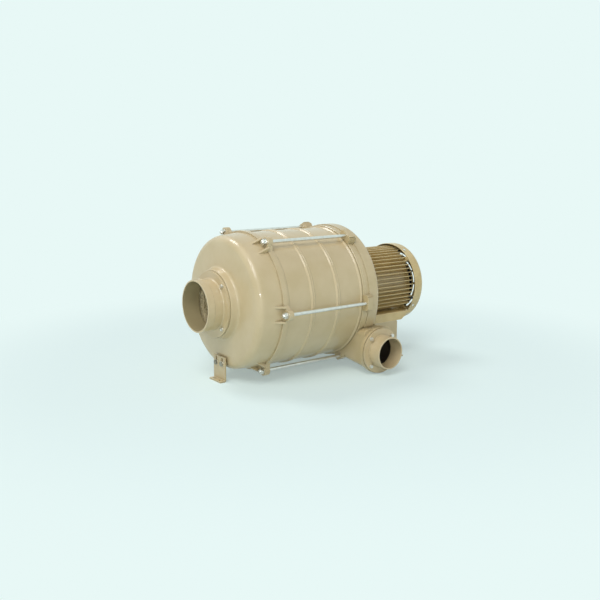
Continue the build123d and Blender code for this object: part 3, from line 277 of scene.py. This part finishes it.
def enamel(name, body, shade, edge, dust_and_shade_colour, wave_mm=55.0, duct_shade=None):
    material, tree, place = new_material(name)
    clouds = add_node(tree, "ShaderNodeTexNoise", None, {"Vector": place, "Scale": pattern_scale(70), "Detail": 6.0})
    tint_ramp = add_node(tree, "ShaderNodeValToRGB", None, {"Fac": clouds.outputs["Fac"]})
    paint = set_ramp(tint_ramp, 0.36, 0.66, colour(shade), colour(body))
    paint = dust_and_shade_in_corners(tree, place, paint, dust_and_shade_colour)
    rounded = add_node(tree, "ShaderNodeBevel", {"samples": 6}, {"Radius": edge_radius}).outputs[0]
    flat = add_node(tree, "ShaderNodeNewGeometry").outputs["Normal"]
    paint = worn_and_lit_edges(tree, place, rounded, flat, paint, edge)
    if duct_shade:
        paint = painted_duct_shade(tree, place, flat, paint, **duct_shade)
    sheen = add_node(tree, "ShaderNodeTexNoise", None, {"Vector": place, "Scale": pattern_scale(25), "Detail": 6.0})
    roughness = add_node(
        tree,
        "ShaderNodeMapRange",
        None,
        {"Value": sheen.outputs["Fac"], "To Min": enamel_roughness - 0.07, "To Max": enamel_roughness + 0.10},
    )
    shader = add_node(
        tree,
        "ShaderNodeBsdfPrincipled",
        None,
        {
            "Base Color": paint,
            "Roughness": roughness.outputs[0],
            "Normal": cast_skin(tree, place, rounded, wave_mm),
            "IOR": 1.5,
            "Coat Weight": 0.6,
            "Coat Roughness": 0.10,
        },
    )
    return finish_material(material, shader)


# %% [markdown]
# The castings, the motor and the folded sheet of the feet differ a little in colour,
# as separate batches do. Sheet and the motor's die castings are flatter than the
# casing, so their waves are broader. The inlet's duct runs along the shaft and the
# outlet's along Y.

# %% The five enamels
outlet_x_mm = 519.0
outlet_z_mm = -162.5
# Body, random darker tone, edge colour with painted highlight, and the colour of dust and painted shade in corners.
casing_colours = ("#CAB791", "#C3AF86", "#DFD1AE", "#7D6E48")
# Each duct's inside colour is painted shade, the outlet's darkest deep in the volute.
inlet_duct_shade = {"inside": "#A0926E", "middle": (0, 0, 0), "across": (0, 1, 1), "radius": 73.4 * MM}
outlet_duct_shade = {
    "inside": "#2A251D",
    "middle": (outlet_x_mm * MM, 0, outlet_z_mm * MM),
    "across": (1, 0, 1),
    "radius": 62.0 * MM,
    "deepest_y": -135.0 * MM,
    "least_facing_y": -0.5,
}
casing_enamel = enamel("casing_enamel", *casing_colours)
inlet_enamel = enamel("inlet_enamel", *casing_colours, duct_shade=inlet_duct_shade)
volute_enamel = enamel("volute_enamel", "#C7B48D", "#BEAA7F", "#DDCFAB", "#7D6E48", duct_shade=outlet_duct_shade)
motor_enamel = enamel("motor_enamel", "#D0B982", "#BFA66E", "#E6D6A6", "#6E5B30", wave_mm=80.0)
sheet_enamel = enamel("sheet_enamel", "#C4B088", "#B8A57B", "#DFD2AD", "#7D6E48", wave_mm=120.0)
print("enamels", [m.name for m in bpy.data.materials if "enamel" in m.name])

# %% [markdown]
# ## Metals
# Rods, nuts, bolts and washers are steel with a bright zinc plating: a smooth metal
# with a soft gloss and a faint bloom in its colour. On the front foot's bolts the
# plating has gone dull and grey. The same build of nodes serves turned steel, bare
# cast aluminium and the woven wire, with other colours, a rougher skin and a finer,
# deeper grain. Wire and turning marks are under half a millimetre wide, so their
# grain is drawn a few times too coarse to show.


# %% Metals
def grained(tree, place, grain_mm, detail, smoothest, roughest, bump):
    # One noise varies the roughness and stands out in relief, by 0.3 mm at full strength.
    cells = {"Vector": place, "Scale": pattern_scale(grain_mm), "Detail": detail}
    grain = add_node(tree, "ShaderNodeTexNoise", None, cells).outputs["Fac"]
    roughness = add_node(tree, "ShaderNodeMapRange", None, {"Value": grain, "To Min": smoothest, "To Max": roughest})
    relief = add_node(tree, "ShaderNodeBump", None, {"Height": grain, "Strength": bump, "Distance": 0.3 * MM})
    return grain, {"Roughness": roughness.outputs[0], "Normal": relief.outputs["Normal"]}


def metal(name, bright, dull, rough, grain_mm, bump=0.15, uneven=1.0):
    material, tree, place = new_material(name)
    bloom = add_node(tree, "ShaderNodeTexNoise", None, {"Vector": place, "Scale": pattern_scale(12), "Detail": 5.0})
    tint_ramp = add_node(tree, "ShaderNodeValToRGB", None, {"Fac": bloom.outputs["Fac"]})
    tint = set_ramp(tint_ramp, 0.38, 0.62, colour(dull), colour(bright))
    smoothest, roughest = rough - 0.08 * uneven, rough + 0.15 * uneven
    skin = grained(tree, place, grain_mm, 3.0, smoothest, roughest, bump)[1]
    shader = add_node(tree, "ShaderNodeBsdfPrincipled", None, {"Base Color": tint, "Metallic": 1.0, **skin})
    return finish_material(material, shader)


zinc_plate = metal("zinc_plate", "#E4E3DF", "#DAD8D2", 0.30, 30.0, 0.02, uneven=0.3)
weathered_zinc = metal("weathered_zinc", "#A9A598", "#8B877A", 0.45, 6.0, 0.08)
turned_steel = metal("turned_steel", "#B8B8BA", "#9A9A9C", 0.28, 2.0)
cast_aluminium = metal("cast_aluminium", "#B9B7B0", "#98958C", 0.50, 3.0, 0.5)
lamination_steel = metal("lamination_steel", "#6E6E74", "#4C4C52", 0.45, 1.5)
woven_wire = metal("woven_wire", "#D6C9A6", "#B5A784", 0.42, 1.5)
print("metals", len(bpy.data.materials))

# %% [markdown]
# ## Rubber, varnish and plastics
# The gaskets are rubber sheet, the windings are copper wire under brown varnish, and
# the fan and the cable gland are moulded plastic. None of them is glossy, and their
# colour hardly varies, so a fine grain in colour, roughness and relief is enough.


# %% Rubber, varnish and plastics
def moulded(name, body, shade, rough, grain_mm):
    material, tree, place = new_material(name)
    grain, skin = grained(tree, place, grain_mm, 4.0, rough - 0.08, rough + 0.08, 0.3)
    tint_ramp = add_node(tree, "ShaderNodeValToRGB", None, {"Fac": grain})
    tint = set_ramp(tint_ramp, 0.3, 0.7, colour(shade), colour(body))
    shader = add_node(tree, "ShaderNodeBsdfPrincipled", None, {"Base Color": tint, **skin})
    return finish_material(material, shader)


winding_varnish = moulded("winding_varnish", "#8A4A22", "#5A2C12", 0.35, 2.0)
gasket_rubber = moulded("gasket_rubber", "#3A352B", "#2A261E", 0.70, 2.0)
fan_plastic = moulded("fan_plastic", "#1D1D1F", "#141416", 0.45, 3.0)
gland_plastic = moulded("gland_plastic", "#3B3B3C", "#2C2C2E", 0.50, 3.0)
print("materials", len(bpy.data.materials))

# %% [markdown]
# ## Finishes on the frame
# The record already says which slot each solid belongs to, and each slot gets one
# finish. Three nodes are set by name: the inlet collar has painted shade inside, the
# rear casing has a darker painted shade deep in its duct, and the thin gasket behind
# the inlet flange was painted over with the casing.

# %% Dress the solids
finish_of_slot = {
    "casing_paint": casing_enamel,
    "motor_paint": motor_enamel,
    "foot_paint": sheet_enamel,
    "zinc": zinc_plate,
    "screen_wire": woven_wire,
    "gasket": gasket_rubber,
    "cast_aluminium": cast_aluminium,
    "machined_steel": turned_steel,
    "laminations": lamination_steel,
    "copper_winding": winding_varnish,
    "fan_plastic": fan_plastic,
    "gland_plastic": gland_plastic,
}
finish_of_node = {
    "inlet_collar": inlet_enamel,
    "inlet_gasket": casing_enamel,
    "rear_casing": volute_enamel,
}
slot_of_node = {row["node"]: row["material_slot"] for row in frame["record"]["subparts"]}
for node_name, node_object in frame["nodes"].items():
    finish = finish_of_node.get(node_name, finish_of_slot[slot_of_node[node_name]])
    node_object.data.materials.clear()
    node_object.data.materials.append(finish)
print("dressed", len(slot_of_node))

# %% [markdown]
# ## Steps that repeat
# Blender's operators work on what is selected and active, so each step below starts
# from a clean selection. What repeats on the real object is modelled once, copied to
# its places and joined, and each new piece is then smoothed, given its finish and
# tied to the body that it moves with.


# %% Helpers for modelling
def start_clean():
    if bpy.context.object and bpy.context.object.mode != "OBJECT":
        bpy.ops.object.mode_set(mode="OBJECT")
    bpy.ops.object.select_all(action="DESELECT")


def make_active(piece):
    start_clean()
    piece.select_set(True)
    bpy.context.view_layer.objects.active = piece


def keep_place_in_mesh(piece):
    make_active(piece)
    bpy.ops.object.transform_apply(location=True, rotation=True, scale=True)


def join(pieces):
    # Joins the pieces into the first one.
    start_clean()
    for piece in pieces:
        piece.select_set(True)
    bpy.context.view_layer.objects.active = pieces[0]
    bpy.ops.object.join()
    return pieces[0]


def place_copies(piece, name, places):
    # Copies the piece to each place, a 4x4 matrix, joins the copies and removes the model.
    copies = []
    for matrix in places:
        copy = piece.copy()
        copy.data = piece.data.copy()
        copy.data.transform(matrix)
        bpy.context.collection.objects.link(copy)
        copies.append(copy)
    joined = join(copies)
    joined.name = name
    bpy.data.objects.remove(piece, do_unlink=True)
    return joined


def dress(piece, finish, body="casing"):
    make_active(piece)
    bpy.ops.object.shade_smooth_by_angle(angle=math.radians(32))
    piece.data.materials.clear()
    piece.data.materials.append(finish)
    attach(piece, body)
    print(piece.name, len(piece.data.polygons), "faces")


# %% [markdown]
# ## Front cover
# The cast cover's face is a very flat cone, its shoulder is turned to a radius of
# 24 mm, and its side has the few degrees of draft that let it leave the mould. The
# frame has a flat face, a rounder shoulder and a straight side. So a copy of the
# frame's cover is cut by planes, to have vertices where the new shoulder needs them,
# and each vertex of the old skin slides to the new one: along the shaft on the face,
# away from the shaft on the side, and along a ray from the old arc's centre between.
# The ribs and lugs share those vertices, so their roots follow. Points are written as
# x along the shaft and radius from it, in millimetres.


# %% Points and lines of the profile
def step_along(point, way, distance):
    return (point[0] + distance * way[0], point[1] + distance * way[1])


def step_inside(point, way, distance):
    # Square to the way, into the cover; a negative distance steps out of it.
    return (point[0] + distance * way[1], point[1] - distance * way[0])


def reach_of_line(point, way, ray_point, ray_way):
    # Distance along the ray at which it meets the line.
    cross = ray_way[0] * way[1] - ray_way[1] * way[0]
    gap = (point[0] - ray_point[0], point[1] - ray_point[1])
    return (gap[0] * way[1] - gap[1] * way[0]) / cross


# %% New profile of the front cover
old_face_mm = 83.0
hub_foot_mm = 116.0
side_end_mm = 165.0
old_side_mm = 205.0
old_centre = (127.0, 161.0)
old_shoulder_mm = 44.0
# Face and side would meet in this corner if the shoulder were sharp.
sharp_corner = (91.0, 198.0)
shoulder_mm = 24.0

face_start = (old_face_mm, hub_foot_mm)
side_start = (side_end_mm, old_side_mm)
face_slope = math.atan2(sharp_corner[0] - face_start[0], sharp_corner[1] - face_start[1])
side_slope = math.atan2(side_start[1] - sharp_corner[1], side_start[0] - sharp_corner[0])
face_way = (math.sin(face_slope), math.cos(face_slope))
side_way = (math.cos(side_slope), math.sin(side_slope))
# The shoulder's centre lies at its radius behind the face and below the side.
behind_face = step_inside(face_start, face_way, shoulder_mm)
below_side = step_inside(side_start, side_way, shoulder_mm)
to_centre = reach_of_line(below_side, side_way, behind_face, face_way)
shoulder_centre = step_along(behind_face, face_way, to_centre)
face_touch = step_inside(shoulder_centre, face_way, -shoulder_mm)
side_touch = step_inside(shoulder_centre, side_way, -shoulder_mm)
print("shoulder centre", [round(v, 1) for v in shoulder_centre])


# %% Where a ray meets the new skin
def new_skin(ray_point, ray_way):
    if ray_way[0] < -1e-6:
        spot = step_along(ray_point, ray_way, reach_of_line(face_start, face_way, ray_point, ray_way))
        if spot[1] <= face_touch[1]:
            return spot
    reach = reach_of_line(side_start, side_way, ray_point, ray_way)
    spot = step_along(ray_point, ray_way, reach)
    if reach > 0 and spot[0] >= side_touch[0]:
        return spot
    # What meets neither the face nor the side meets the shoulder's circle.
    offset = (ray_point[0] - shoulder_centre[0], ray_point[1] - shoulder_centre[1])
    half = offset[0] * ray_way[0] + offset[1] * ray_way[1]
    rest = offset[0] ** 2 + offset[1] ** 2 - shoulder_mm**2
    return step_along(ray_point, ray_way, -half + math.sqrt(max(half**2 - rest, 0.0)))


# %% [markdown]
# The copy keeps the frame's own normals, which belong to the old shape, so they are
# cleared first. The cuts are planes through the shaft, every 7.5 degrees, and planes
# across it, every 5 degrees of the old arc.

# %% Cut the front cover
merge_distance = 0.01 * MM
planes_through_shaft = 24
planes_on_arc = 17
first_arc_angle = 96
arc_angle_step = 5

cover = bpy.data.objects.new("front_cover_drafted", frame["nodes"]["front_cover"].data.copy())
bpy.context.collection.objects.link(cover)
make_active(cover)
bpy.ops.mesh.customdata_custom_splitnormals_clear()
bpy.ops.object.mode_set(mode="EDIT")
bpy.ops.mesh.select_all(action="SELECT")
bpy.ops.mesh.remove_doubles(threshold=merge_distance)
cuts = []
for step in range(planes_through_shaft):
    angle = math.pi * step / planes_through_shaft
    cuts.append(((0, 0, 0), (0, math.cos(angle), math.sin(angle))))
for step in range(planes_on_arc):
    arc_angle = math.radians(first_arc_angle + arc_angle_step * step)
    cuts.append((((old_centre[0] + old_shoulder_mm * math.cos(arc_angle)) * MM, 0, 0), (1, 0, 0)))
for plane_place, plane_normal in cuts:
    bpy.ops.mesh.select_all(action="SELECT")
    bpy.ops.mesh.bisect(plane_co=plane_place, plane_no=plane_normal)
bpy.ops.object.mode_set(mode="OBJECT")
print("cuts", len(cuts), "vertices", len(cover.data.vertices))

# %% Move the front cover's skin
# Cuts through the frame's flat facets lie a little inside the true shoulder and side.
face_slack = 0.05
shoulder_sag = 1.1
side_sag = 1.3
skin_slack = 0.3
centre_slack = 0.01

moved = 0
for vert in cover.data.vertices:
    x_mm = vert.co.x / MM
    radius_mm = math.hypot(vert.co.y, vert.co.z) / MM
    from_centre = (x_mm - old_centre[0], radius_mm - old_centre[1])
    distance_mm = math.hypot(*from_centre)
    on_face = hub_foot_mm < radius_mm <= old_centre[1] + centre_slack and abs(x_mm - old_face_mm) < face_slack
    by_centre = x_mm < old_centre[0] and radius_mm > old_centre[1]
    if on_face:
        spot = new_skin((old_centre[0], radius_mm), (-1.0, 0.0))
    elif by_centre and -shoulder_sag < distance_mm - old_shoulder_mm < skin_slack:
        spot = new_skin(old_centre, (from_centre[0] / distance_mm, from_centre[1] / distance_mm))
    elif old_centre[0] <= x_mm <= side_end_mm and -side_sag < radius_mm - old_side_mm < skin_slack:
        spot = new_skin((x_mm, old_centre[1]), (0.0, 1.0))
    else:
        continue
    share = spot[1] / radius_mm
    vert.co = (spot[0] * MM, vert.co.y * share, vert.co.z * share)
    moved += 1
print("moved", moved)
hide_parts("front_cover")
dress(cover, casing_enamel)

# %% [markdown]
# ## Tie rods and their nuts
# Six M10 rods are screwed into the rear lugs, pass the front lugs, and carry a washer
# and a nut there. The rod is one ring of edges pulled along its length: a chamfered
# tip, then ridges for the thread by turns wider and narrower, then the plain shank.
# The thread's pitch is 1.5 mm, as on the real rod. Nuts end at chance angles when
# they are tightened, so each copy is turned a little further than the one before.

# %% Places round the shaft
rod_circle_mm = 222.0
rod_first_angle = 2.5
rod_count = 6
rod_turn_step = 17.0
towards_inlet = Matrix.Rotation(-math.pi / 2, 4, "Y")


def rod_places(x_mm, first_turn=0.0):
    # One place on each rod's axis, with local +Z towards the inlet.
    places = []
    for k in range(rod_count):
        angle = math.radians(rod_first_angle + 360.0 * k / rod_count)
        spot = Vector((x_mm, rod_circle_mm * math.cos(angle), rod_circle_mm * math.sin(angle))) * MM
        own_turn = Matrix.Rotation(math.radians(first_turn + rod_turn_step * k), 4, "Z")
        places.append(Matrix.Translation(spot) @ towards_inlet @ own_turn)
    return places


# %% Tie rods
rod_start_mm = 151.0
rod_end_mm = 480.0
rod_radius = 5.0 * MM
tip_mm = 0.9
tip_share = 0.78
half_pitch_mm = 0.75
root_share = 0.90
ridge_count = 9
thread_mm = 2 * half_pitch_mm * ridge_count

start_clean()
bpy.ops.mesh.primitive_circle_add(vertices=24, radius=rod_radius * tip_share, fill_type="NGON", location=(0, 0, 0))
rod = bpy.context.object
bpy.ops.object.mode_set(mode="EDIT")
pulls = [(tip_mm, 1.0 / tip_share)]
for ridge in range(ridge_count):
    pulls.append((half_pitch_mm, root_share))
    pulls.append((half_pitch_mm, 1.0 / root_share))
pulls.append((rod_end_mm - rod_start_mm - tip_mm - thread_mm, 1.0))
for length_mm, widening in pulls:
    bpy.ops.mesh.extrude_region_move(TRANSFORM_OT_translate={"value": (0, 0, -length_mm * MM)})
    bpy.ops.transform.resize(value=(widening, widening, 1), center_override=(0, 0, 0))
bpy.ops.mesh.select_all(action="SELECT")
bpy.ops.mesh.normals_make_consistent(inside=False)
bpy.ops.object.mode_set(mode="OBJECT")
fine_rods = place_copies(rod, "tie_rods_threaded", rod_places(rod_start_mm))
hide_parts("tie_rods")
dress(fine_rods, zinc_plate)

# %% [markdown]
# ## Chamfered hexagons
# A real nut or bolt head is turned before it is milled, which leaves a round chamfer
# over its six corners. The hexagon is a six-sided cylinder. A round cylinder with a
# bevelled rim is laid over it, and a Boolean keeps what both share, which is just how
# the real shape comes about. A nut is chamfered on both ends, a head on one.

# %% Hexagon
chamfer_share = 0.19
turned_clearance = 1.001


def hexagon(flats_mm, height_mm, chamfer_both):
    # Stands on z = 0 and rises along +Z.
    corner = flats_mm / 2 / math.cos(math.pi / 6) * MM
    height = height_mm * MM
    middle = (0, 0, height / 2)
    start_clean()
    bpy.ops.mesh.primitive_cylinder_add(vertices=6, radius=corner, depth=height, location=middle)
    head = bpy.context.object
    start_clean()
    bpy.ops.mesh.primitive_cylinder_add(vertices=48, radius=corner * turned_clearance, depth=height, location=middle)
    turned_shape = bpy.context.object
    keep_place_in_mesh(head)
    keep_place_in_mesh(turned_shape)
    bpy.ops.object.mode_set(mode="EDIT")
    bpy.ops.mesh.select_mode(type="EDGE")
    bpy.ops.mesh.select_all(action="DESELECT")
    mesh = bmesh.from_edit_mesh(turned_shape.data)
    for edge in mesh.edges:
        first_z, second_z = [vert.co.z for vert in edge.verts]
        on_rim = abs(first_z - second_z) < 1e-6
        edge.select = on_rim and (first_z > height * 0.5 or chamfer_both)
    bmesh.update_edit_mesh(turned_shape.data)
    bpy.ops.mesh.bevel(offset=corner * chamfer_share, segments=3, profile=0.45)
    bpy.ops.object.mode_set(mode="OBJECT")
    make_active(head)
    overlap = head.modifiers.new("overlap", "BOOLEAN")
    overlap.operation = "INTERSECT"
    overlap.object = turned_shape
    bpy.ops.object.modifier_apply(modifier=overlap.name)
    bpy.data.objects.remove(turned_shape, do_unlink=True)
    return head


# %% Tie rod nuts
nut_flats_mm = 16.0
nut_height_mm = 8.0
nut_seat_mm = 164.0

nut = hexagon(nut_flats_mm, nut_height_mm, True)
fine_nuts = place_copies(nut, "tie_rod_nuts_chamfered", rod_places(nut_seat_mm, 8.0))
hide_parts("tie_rod_nuts")
dress(fine_nuts, zinc_plate)

# %% [markdown]
# ## Flange and foot bolts
# The collars are held by four M6 bolts each and the front foot by two M8 bolts. Only
# their heads show, so each head is modelled and its hidden shank stays in the frame.

# %% Places on a flange
bolt_turn_step = 23.0
towards_outlet = Matrix.Rotation(math.pi / 2, 4, "X")


def flange_places(centre_mm, circle_mm, outward, first_turn):
    # Four places at 45 degrees round a flange's centre, on its face, with local +Z outwards.
    places = []
    for k in range(4):
        angle = math.radians(45 + 90 * k)
        offset = Vector((circle_mm * math.cos(angle), circle_mm * math.sin(angle), 0)) * MM
        own_turn = Matrix.Rotation(math.radians(first_turn + bolt_turn_step * k), 4, "Z")
        centre = Matrix.Translation(Vector(centre_mm) * MM)
        places.append(centre @ outward @ Matrix.Translation(offset) @ own_turn)
    return places


# %% Bolt heads
head_height_mm = 4.0
m6_flats_mm = 10.0
m8_flats_mm = 13.0
inlet_face_mm = (51.4, 0, 0)
inlet_bolt_circle_mm = 88.5
outlet_face_mm = (outlet_x_mm, -237.1, outlet_z_mm)
outlet_bolt_circle_mm = 60.5
foot_face_mm = 76.4
foot_bolt_z_mm = -181.0
foot_bolt_turns = {-16.0: 9.0, 16.0: 31.0}

inlet_places = flange_places(inlet_face_mm, inlet_bolt_circle_mm, towards_inlet, 11.0)
outlet_places = flange_places(outlet_face_mm, outlet_bolt_circle_mm, towards_outlet, 5.0)
foot_places = []
for side_mm, bolt_turn in foot_bolt_turns.items():
    spot = Matrix.Translation(Vector((foot_face_mm, side_mm, foot_bolt_z_mm)) * MM)
    foot_places.append(spot @ towards_inlet @ Matrix.Rotation(math.radians(bolt_turn), 4, "Z"))
for name, flats_mm, places, hidden, finish in (
    ("inlet_bolt_heads", m6_flats_mm, inlet_places, "inlet_bolts", zinc_plate),
    ("outlet_bolt_heads", m6_flats_mm, outlet_places, "outlet_bolts", zinc_plate),
    ("front_foot_bolt_heads", m8_flats_mm, foot_places, "front_foot_bolts", weathered_zinc),
):
    heads = place_copies(hexagon(flats_mm, head_height_mm, False), name, places)
    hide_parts(hidden)
    dress(heads, finish)

# %% [markdown]
# ## Woven guard screen
# Behind the inlet collar a plain-woven wire screen keeps things out of the first
# impeller. Each wire passes over one crossing wire and under the next. One crimp of a
# wire, from one crossing to the next and back, is modelled as a pulled ring of edges,
# repeated with an Array, and cut to the screen's circle. Counted in the picture, the
# wires lie about 8 mm apart.

# %% One wire
wire_radius = 0.75 * MM
wire_pitch = 8.0 * MM
crimp_height = 0.65 * MM
steps_per_pitch = 3


def crimped_wire(crimp_count, start_high):
    # Runs along +X from x = 0, one crimp per two crossings.
    start_clean()
    bpy.ops.mesh.primitive_circle_add(vertices=6, radius=wire_radius, rotation=(0, math.pi / 2, 0))
    wire = bpy.context.object
    keep_place_in_mesh(wire)
    bpy.ops.object.mode_set(mode="EDIT")
    bpy.ops.mesh.select_all(action="SELECT")
    sign = 1 if start_high else -1
    heights = [
        sign * crimp_height * math.cos(math.pi * step / steps_per_pitch) for step in range(2 * steps_per_pitch + 1)
    ]
    bpy.ops.transform.translate(value=(0, 0, heights[0]))
    for before, after in zip(heights[:-1], heights[1:]):
        move = {"value": (wire_pitch / steps_per_pitch, 0, after - before)}
        bpy.ops.mesh.extrude_region_move(TRANSFORM_OT_translate=move)
    bpy.ops.mesh.select_all(action="SELECT")
    bpy.ops.mesh.normals_make_consistent(inside=False)
    bpy.ops.object.mode_set(mode="OBJECT")
    repeat = wire.modifiers.new("crimps", "ARRAY")
    repeat.count = crimp_count
    repeat.use_relative_offset = False
    repeat.use_constant_offset = True
    repeat.constant_offset_displace = (2 * wire_pitch, 0, 0)
    repeat.use_merge_vertices = True
    repeat.merge_threshold = merge_distance
    bpy.ops.object.modifier_apply(modifier=repeat.name)
    return wire


# %% Woven screen
screen_middle = 58.0 * MM
screen_reach = 77.4 * MM
wire_count = int(2 * screen_reach / wire_pitch)
first_line = -(wire_count - 1) / 2 * wire_pitch

wires = []
for direction in (0, 1):
    for line in range(wire_count):
        sideways = first_line + line * wire_pitch
        half_chord = math.sqrt(screen_reach**2 - sideways**2)
        wire = crimped_wire(wire_count // 2 + 1, (line + direction) % 2 == 0)
        wire.data.transform(Matrix.Translation((first_line, sideways, 0)))
        make_active(wire)
        bpy.ops.object.mode_set(mode="EDIT")
        for end in (1, -1):
            bpy.ops.mesh.select_all(action="SELECT")
            bpy.ops.mesh.bisect(
                plane_co=(end * half_chord, 0, 0), plane_no=(end, 0, 0), use_fill=True, clear_outer=True
            )
        bpy.ops.object.mode_set(mode="OBJECT")
        if direction:
            wire.data.transform(Matrix.Rotation(math.pi / 2, 4, "Z"))
        wires.append(wire)
screen = join(wires)
print("screen wires", len(wires), "faces", len(screen.data.polygons))

# %% Screen rim
rim_radius = 77.6 * MM
rim_wire_radius = 1.0 * MM

start_clean()
bpy.ops.mesh.primitive_torus_add(
    major_radius=rim_radius, minor_radius=rim_wire_radius, major_segments=96, minor_segments=10
)
screen = join([screen, bpy.context.object])
screen.name = "woven_screen"
screen.data.transform(Matrix.Translation((screen_middle, 0, 0)) @ towards_inlet)
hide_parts("inlet_screen")
dress(screen, woven_wire)

# %% [markdown]
# ## Floor and world
# The background is one even pale colour. Near the object the floor is a plain diffuse
# surface that takes the soft shadow, and further out it turns, for the camera and for
# reflections, into the flat background colour, which the world has as well, so no
# horizon shows. For everything else the world is dim and only fills the shadows.

# %% Floor
background = colour("#E8F8F6")
floor_height = cad_box[0][2]
shadow_middle = (0.42, 0.0, 0.0)
shadow_reach = 0.75
plain_from = 1.45


def seen_directly(tree):
    # 1 for what is seen straight, mirrored or through something, 0 for what only lights the object.
    path = add_node(tree, "ShaderNodeLightPath")
    seen = path.outputs["Is Camera Ray"]
    for ray in ("Is Glossy Ray", "Is Transmission Ray"):
        either = {0: seen, 1: path.outputs[ray]}
        seen = add_node(tree, "ShaderNodeMath", {"operation": "MAXIMUM"}, either).outputs[0]
    return seen


def floor_material():
    material, tree, place = new_material("pale_floor")
    offset = add_node(tree, "ShaderNodeVectorMath", {"operation": "SUBTRACT"}, {0: place, 1: shadow_middle})
    distance = add_node(tree, "ShaderNodeVectorMath", {"operation": "LENGTH"}, {0: offset.outputs[0]})
    far = add_node(
        tree,
        "ShaderNodeMapRange",
        {"interpolation_type": "SMOOTHSTEP"},
        {"Value": distance.outputs["Value"], "From Min": shadow_reach, "From Max": plain_from, "To Min": 0.35},
    )
    flat_part = add_node(
        tree, "ShaderNodeMath", {"operation": "MULTIPLY"}, {0: far.outputs[0], 1: seen_directly(tree)}
    )
    lit = add_node(tree, "ShaderNodeBsdfDiffuse", None, {"Color": colour("#DDEEEC")})
    even = add_node(tree, "ShaderNodeEmission", None, {"Color": background, "Strength": 1.0})
    mixed = add_node(
        tree, "ShaderNodeMixShader", None, {0: flat_part.outputs[0], 1: lit.outputs[0], 2: even.outputs[0]}
    )
    return finish_material(material, mixed)


start_clean()
bpy.ops.mesh.primitive_plane_add(size=stage_size, location=(0, 0, floor_height))
floor = bpy.context.object
floor.name = "floor"
keep_place_in_mesh(floor)
floor.data.materials.append(floor_material())
print("floor at", round(floor_height, 4))

# %% World
world = bpy.data.worlds.new("world")
bpy.context.scene.world = world
world.use_nodes = True
sky_tree = world.node_tree
sky_tree.nodes.clear()
dim_sky = add_node(sky_tree, "ShaderNodeBackground", None, {"Color": colour("#F7FAFF"), "Strength": 0.38})
pale_sky = add_node(sky_tree, "ShaderNodeBackground", None, {"Color": background, "Strength": 1.0})
sky = add_node(
    sky_tree, "ShaderNodeMixShader", None, {0: seen_directly(sky_tree), 1: dim_sky.outputs[0], 2: pale_sky.outputs[0]}
)
add_node(sky_tree, "ShaderNodeOutputWorld", None, {"Surface": sky.outputs[0]})
print("world nodes", len(sky_tree.nodes))

# %% [markdown]
# ## Lamps
# The photograph was lit evenly, so two wide suns give soft light on floor and object:
# the stronger one from the inlet's side and a weaker one from behind. A small disk
# lamp near the camera draws the thin glints on the shoulder and the lips.

# %% Lamps
object_middle = (0.4, 0.0, 0.0)
glint_place = (-1.5, -2.5, 0.8)
glint_width = 0.15
glint_watts = 16


def aim_lamp(name, lamp_data, place, target):
    lamp = bpy.data.objects.new(name, lamp_data)
    bpy.context.collection.objects.link(lamp)
    direction = Vector(target) - Vector(place)
    lamp.matrix_world = Matrix.Translation(place) @ direction.to_track_quat("-Z", "Y").to_matrix().to_4x4()


for name, place, strength, spread in (
    ("front_sun", (-0.8, -0.5, 1.2), 1.35, 32),
    ("back_sun", (-0.35, 0.9, 1.3), 0.9, 20),
):
    sun_data = bpy.data.lights.new(name, "SUN")
    sun_data.energy = strength
    sun_data.angle = math.radians(spread)
    aim_lamp(name, sun_data, place, (0.0, 0.0, 0.0))
glint_data = bpy.data.lights.new("glint_lamp", "AREA")
glint_data.shape = "DISK"
glint_data.size = glint_width
glint_data.energy = glint_watts
aim_lamp("glint_lamp", glint_data, glint_place, object_middle)
print("lamps", [lamp.name for lamp in bpy.data.lights])
